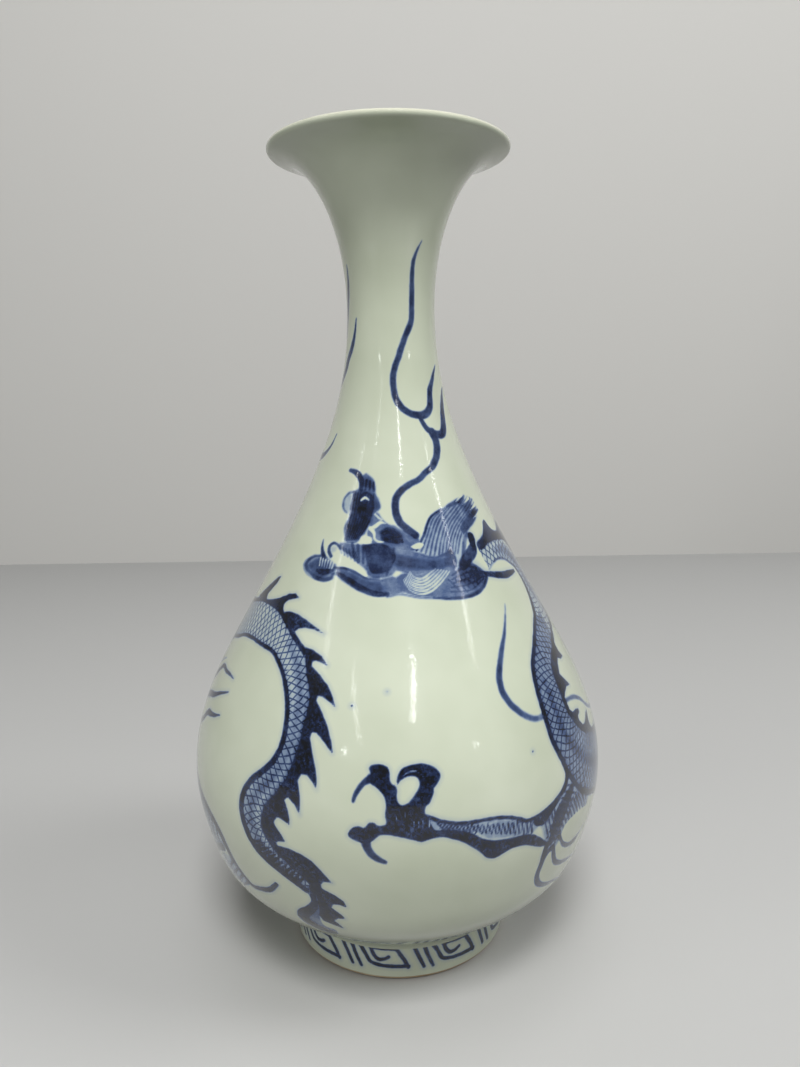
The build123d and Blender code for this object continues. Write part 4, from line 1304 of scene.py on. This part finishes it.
class VASE_OT_inner_glaze(bpy.types.Operator):
    """Give the CAD model's own coat inside the pot its plain glaze."""

    bl_idname = "vase.inner_glaze"
    bl_label = "Inner glaze"

    def execute(self, context):
        glaze = plain_glaze("plain_celadon_glaze_inside", context.scene.vase_colours)
        refinished(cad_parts["inner_glaze"], glaze)
        return {"FINISHED"}


class VASE_OT_base_glaze(bpy.types.Operator):
    """Build the glaze inside the foot ring."""

    bl_idname = "vase.base_glaze"
    bl_label = "Base glaze"

    def execute(self, context):
        s = sizes()
        coat = s.glaze_thickness
        rim = s.foot_diameter / 2 - coat - s.foot_rim_width
        slope = s.foot_inner_taper / s.base_recess_depth
        edge = rim - slope * s.bare_rim_height
        corner = rim - s.foot_inner_taper
        level = s.base_recess_depth - coat
        profile = [
            (POLE_GAP, s.base_recess_depth), (corner, s.base_recess_depth), (edge, s.bare_rim_height),
            (edge - coat * WIPED_SHARE, s.bare_rim_height), (edge - coat, s.bare_rim_height + coat),
        ]
        for turn in np.linspace(0, math.pi / 2, BASE_POINTS):
            profile.append((corner - coat - BASE_ROUNDING * (1 - math.cos(turn)),
                            level - BASE_ROUNDING * (1 - math.sin(turn))))
        profile.append((POLE_GAP, level))
        glaze = plain_glaze("plain_celadon_glaze_base", context.scene.vase_colours)
        placed(spun("glaze_base", profile, BASE_COLUMNS, glaze), "base_glaze")
        return {"FINISHED"}


class VASE_OT_stage(bpy.types.Operator):
    """Set the vase on a plain pale floor in soft studio light, with the camera at the photograph's angle."""

    bl_idname = "vase.stage"
    bl_label = "Studio floor, light and camera"

    def execute(self, context):
        c = context.scene.vase_colours
        paper = self.paper("pale_studio_floor", c.floor, c.floor_bounce)
        self.sheet("studio_floor", FLOOR_HALF, paper).location = (0, 0, -FLOOR_DROP)
        paper = self.paper("pale_studio_backdrop", c.backdrop, c.backdrop_bounce)
        backdrop = self.sheet("studio_backdrop", BACKDROP_HALF, paper)
        backdrop.rotation_euler = (math.pi / 2, 0, 0)
        backdrop.location = (0, BACKDROP_BACK, BACKDROP_UP)
        self.lights()
        self.world(c)
        self.camera()
        context.scene.view_settings.view_transform = "Standard"
        return {"FINISHED"}

    def sheet(self, name, half, material):
        """A flat sheet of studio paper, which belongs to the stage."""
        bm = bmesh.new()
        bmesh.ops.create_grid(bm, x_segments=4, y_segments=4, size=half)
        made = linked(name, bm, material)
        return made

    def seen(self, tree):
        """One for what the camera sees, straight, mirrored or through glass, and nought for bounced light."""
        path = add(tree, "LightPath")
        mirrored = add(tree, "Math", path.outputs["Is Camera Ray"], path.outputs["Is Glossy Ray"], operation="MAXIMUM")
        return add(tree, "Math", mirrored, path.outputs["Is Transmission Ray"], operation="MAXIMUM")

    def paper(self, name, seen, bounced):
        """Seamless studio paper: matt and plain. It is pale to the eye and darker in what it throws back."""
        material, tree = new_material(name)
        tint = add(tree, "Mix", data_type="RGBA",
                   named={"Factor": self.seen(tree), "A": tuple(bounced), "B": tuple(seen)})
        shade = add(tree, "BsdfPrincipled", named={"Base Color": tint.outputs["Result"], "Roughness": 0.9})
        add(tree, "OutputMaterial", shade)
        return material

    def lights(self):
        """Broad soft lamps light the vase, and narrow ceiling tubes draw the streaks of light on its glaze."""
        for name, place, width, tall, power in SOFT_LAMPS:
            made = self.lamp(name, width, tall, power)
            made.location = place
            made.rotation_euler = (Vector(LAMP_AIM) - Vector(place)).to_track_quat("-Z", "Y").to_euler()
            made.visible_glossy = False
        for name, start, end, width in TUBES:
            span = math.dist(start, end)
            made = self.lamp(name, width, span, TUBE_RADIANCE * math.pi * width * span)
            made.location = ((start[0] + end[0]) / 2, (start[1] + end[1]) / 2, CEILING)
            made.rotation_euler = (0, 0, math.atan2(start[0] - end[0], end[1] - start[1]))

    def lamp(self, name, width, tall, power):
        """A rectangular lamp."""
        lamp = bpy.data.lights.new(name, "AREA")
        lamp.shape = "RECTANGLE"
        lamp.size, lamp.size_y = width, tall
        lamp.energy = power
        made = bpy.data.objects.new(name, lamp)
        bpy.context.scene.collection.objects.link(made)
        return made

    def world(self, c):
        """Plain grey air round the stage, darker in the light that it throws on the vase."""
        world = bpy.data.worlds.new("studio_air")
        world.use_nodes = True
        tree = world.node_tree
        tree.nodes.clear()
        tint = add(tree, "Mix", data_type="RGBA",
                   named={"Factor": self.seen(tree), "A": tuple(c.air_bounce), "B": tuple(c.air)})
        glow = add(tree, "Background", tint.outputs["Result"], 1.0)
        tree.links.new(glow.outputs[0], add(tree, "OutputWorld").inputs[0])
        bpy.context.scene.world = world

    def camera(self):
        """The camera that took the photograph, as fitted to the vase's outline."""
        tall = Outline(sizes()).height * MM
        data = bpy.data.cameras.new("photo_camera")
        data.sensor_fit = "HORIZONTAL"
        data.sensor_width = SENSOR
        data.lens = LENS
        data.clip_start, data.clip_end = CLIPS
        made = bpy.data.objects.new("photo_camera", data)
        turn = (Matrix.Rotation(-YAW, 4, "Z") @ Matrix.Rotation(math.pi / 2 - PITCH, 4, "X")
                @ Matrix.Rotation(-ROLL, 4, "Z"))
        made.matrix_world = Matrix.Translation((0, -CAMERA_BACK_SHARE * tall, CAMERA_UP_SHARE * tall)) @ turn
        bpy.context.scene.collection.objects.link(made)
        bpy.context.scene.camera = made


class VASE_PT_panel(bpy.types.Panel):
    """The vase's pieces, sizes and colours"""

    bl_idname = "VASE_PT_panel"
    bl_label = "Bottle vase"
    bl_space_type = "VIEW_3D"
    bl_region_type = "UI"
    bl_category = "Vase"

    def draw(self, context):
        """A button for each operator, then the sizes and the colours."""
        layout = self.layout
        for operator in OPERATORS:
            layout.operator(operator.bl_idname)
        for group in (context.scene.vase_sizes, context.scene.vase_colours):
            box = layout.box()
            for name in group.__annotations__:
                box.prop(group, name)


OPERATORS = (VASE_OT_clay, VASE_OT_outer_glaze, VASE_OT_inner_glaze, VASE_OT_base_glaze, VASE_OT_stage)
CLASSES = (VaseSizes, VaseColours) + OPERATORS + (VASE_PT_panel,)


def register():
    """Registers the classes and hangs the settings on the scene."""
    for cls in CLASSES:
        bpy.utils.register_class(cls)
    bpy.types.Scene.vase_sizes = bpy.props.PointerProperty(type=VaseSizes)
    bpy.types.Scene.vase_colours = bpy.props.PointerProperty(type=VaseColours)


def unregister():
    """Takes everything off again."""
    del bpy.types.Scene.vase_colours
    del bpy.types.Scene.vase_sizes
    for cls in reversed(CLASSES):
        bpy.utils.unregister_class(cls)


def main():
    """Builds the vase and its stage."""
    register()
    bpy.ops.vase.clay()
    bpy.ops.vase.outer_glaze()
    bpy.ops.vase.inner_glaze()
    bpy.ops.vase.base_glaze()
    bpy.ops.vase.stage()


if __name__ == "__main__":
    main()
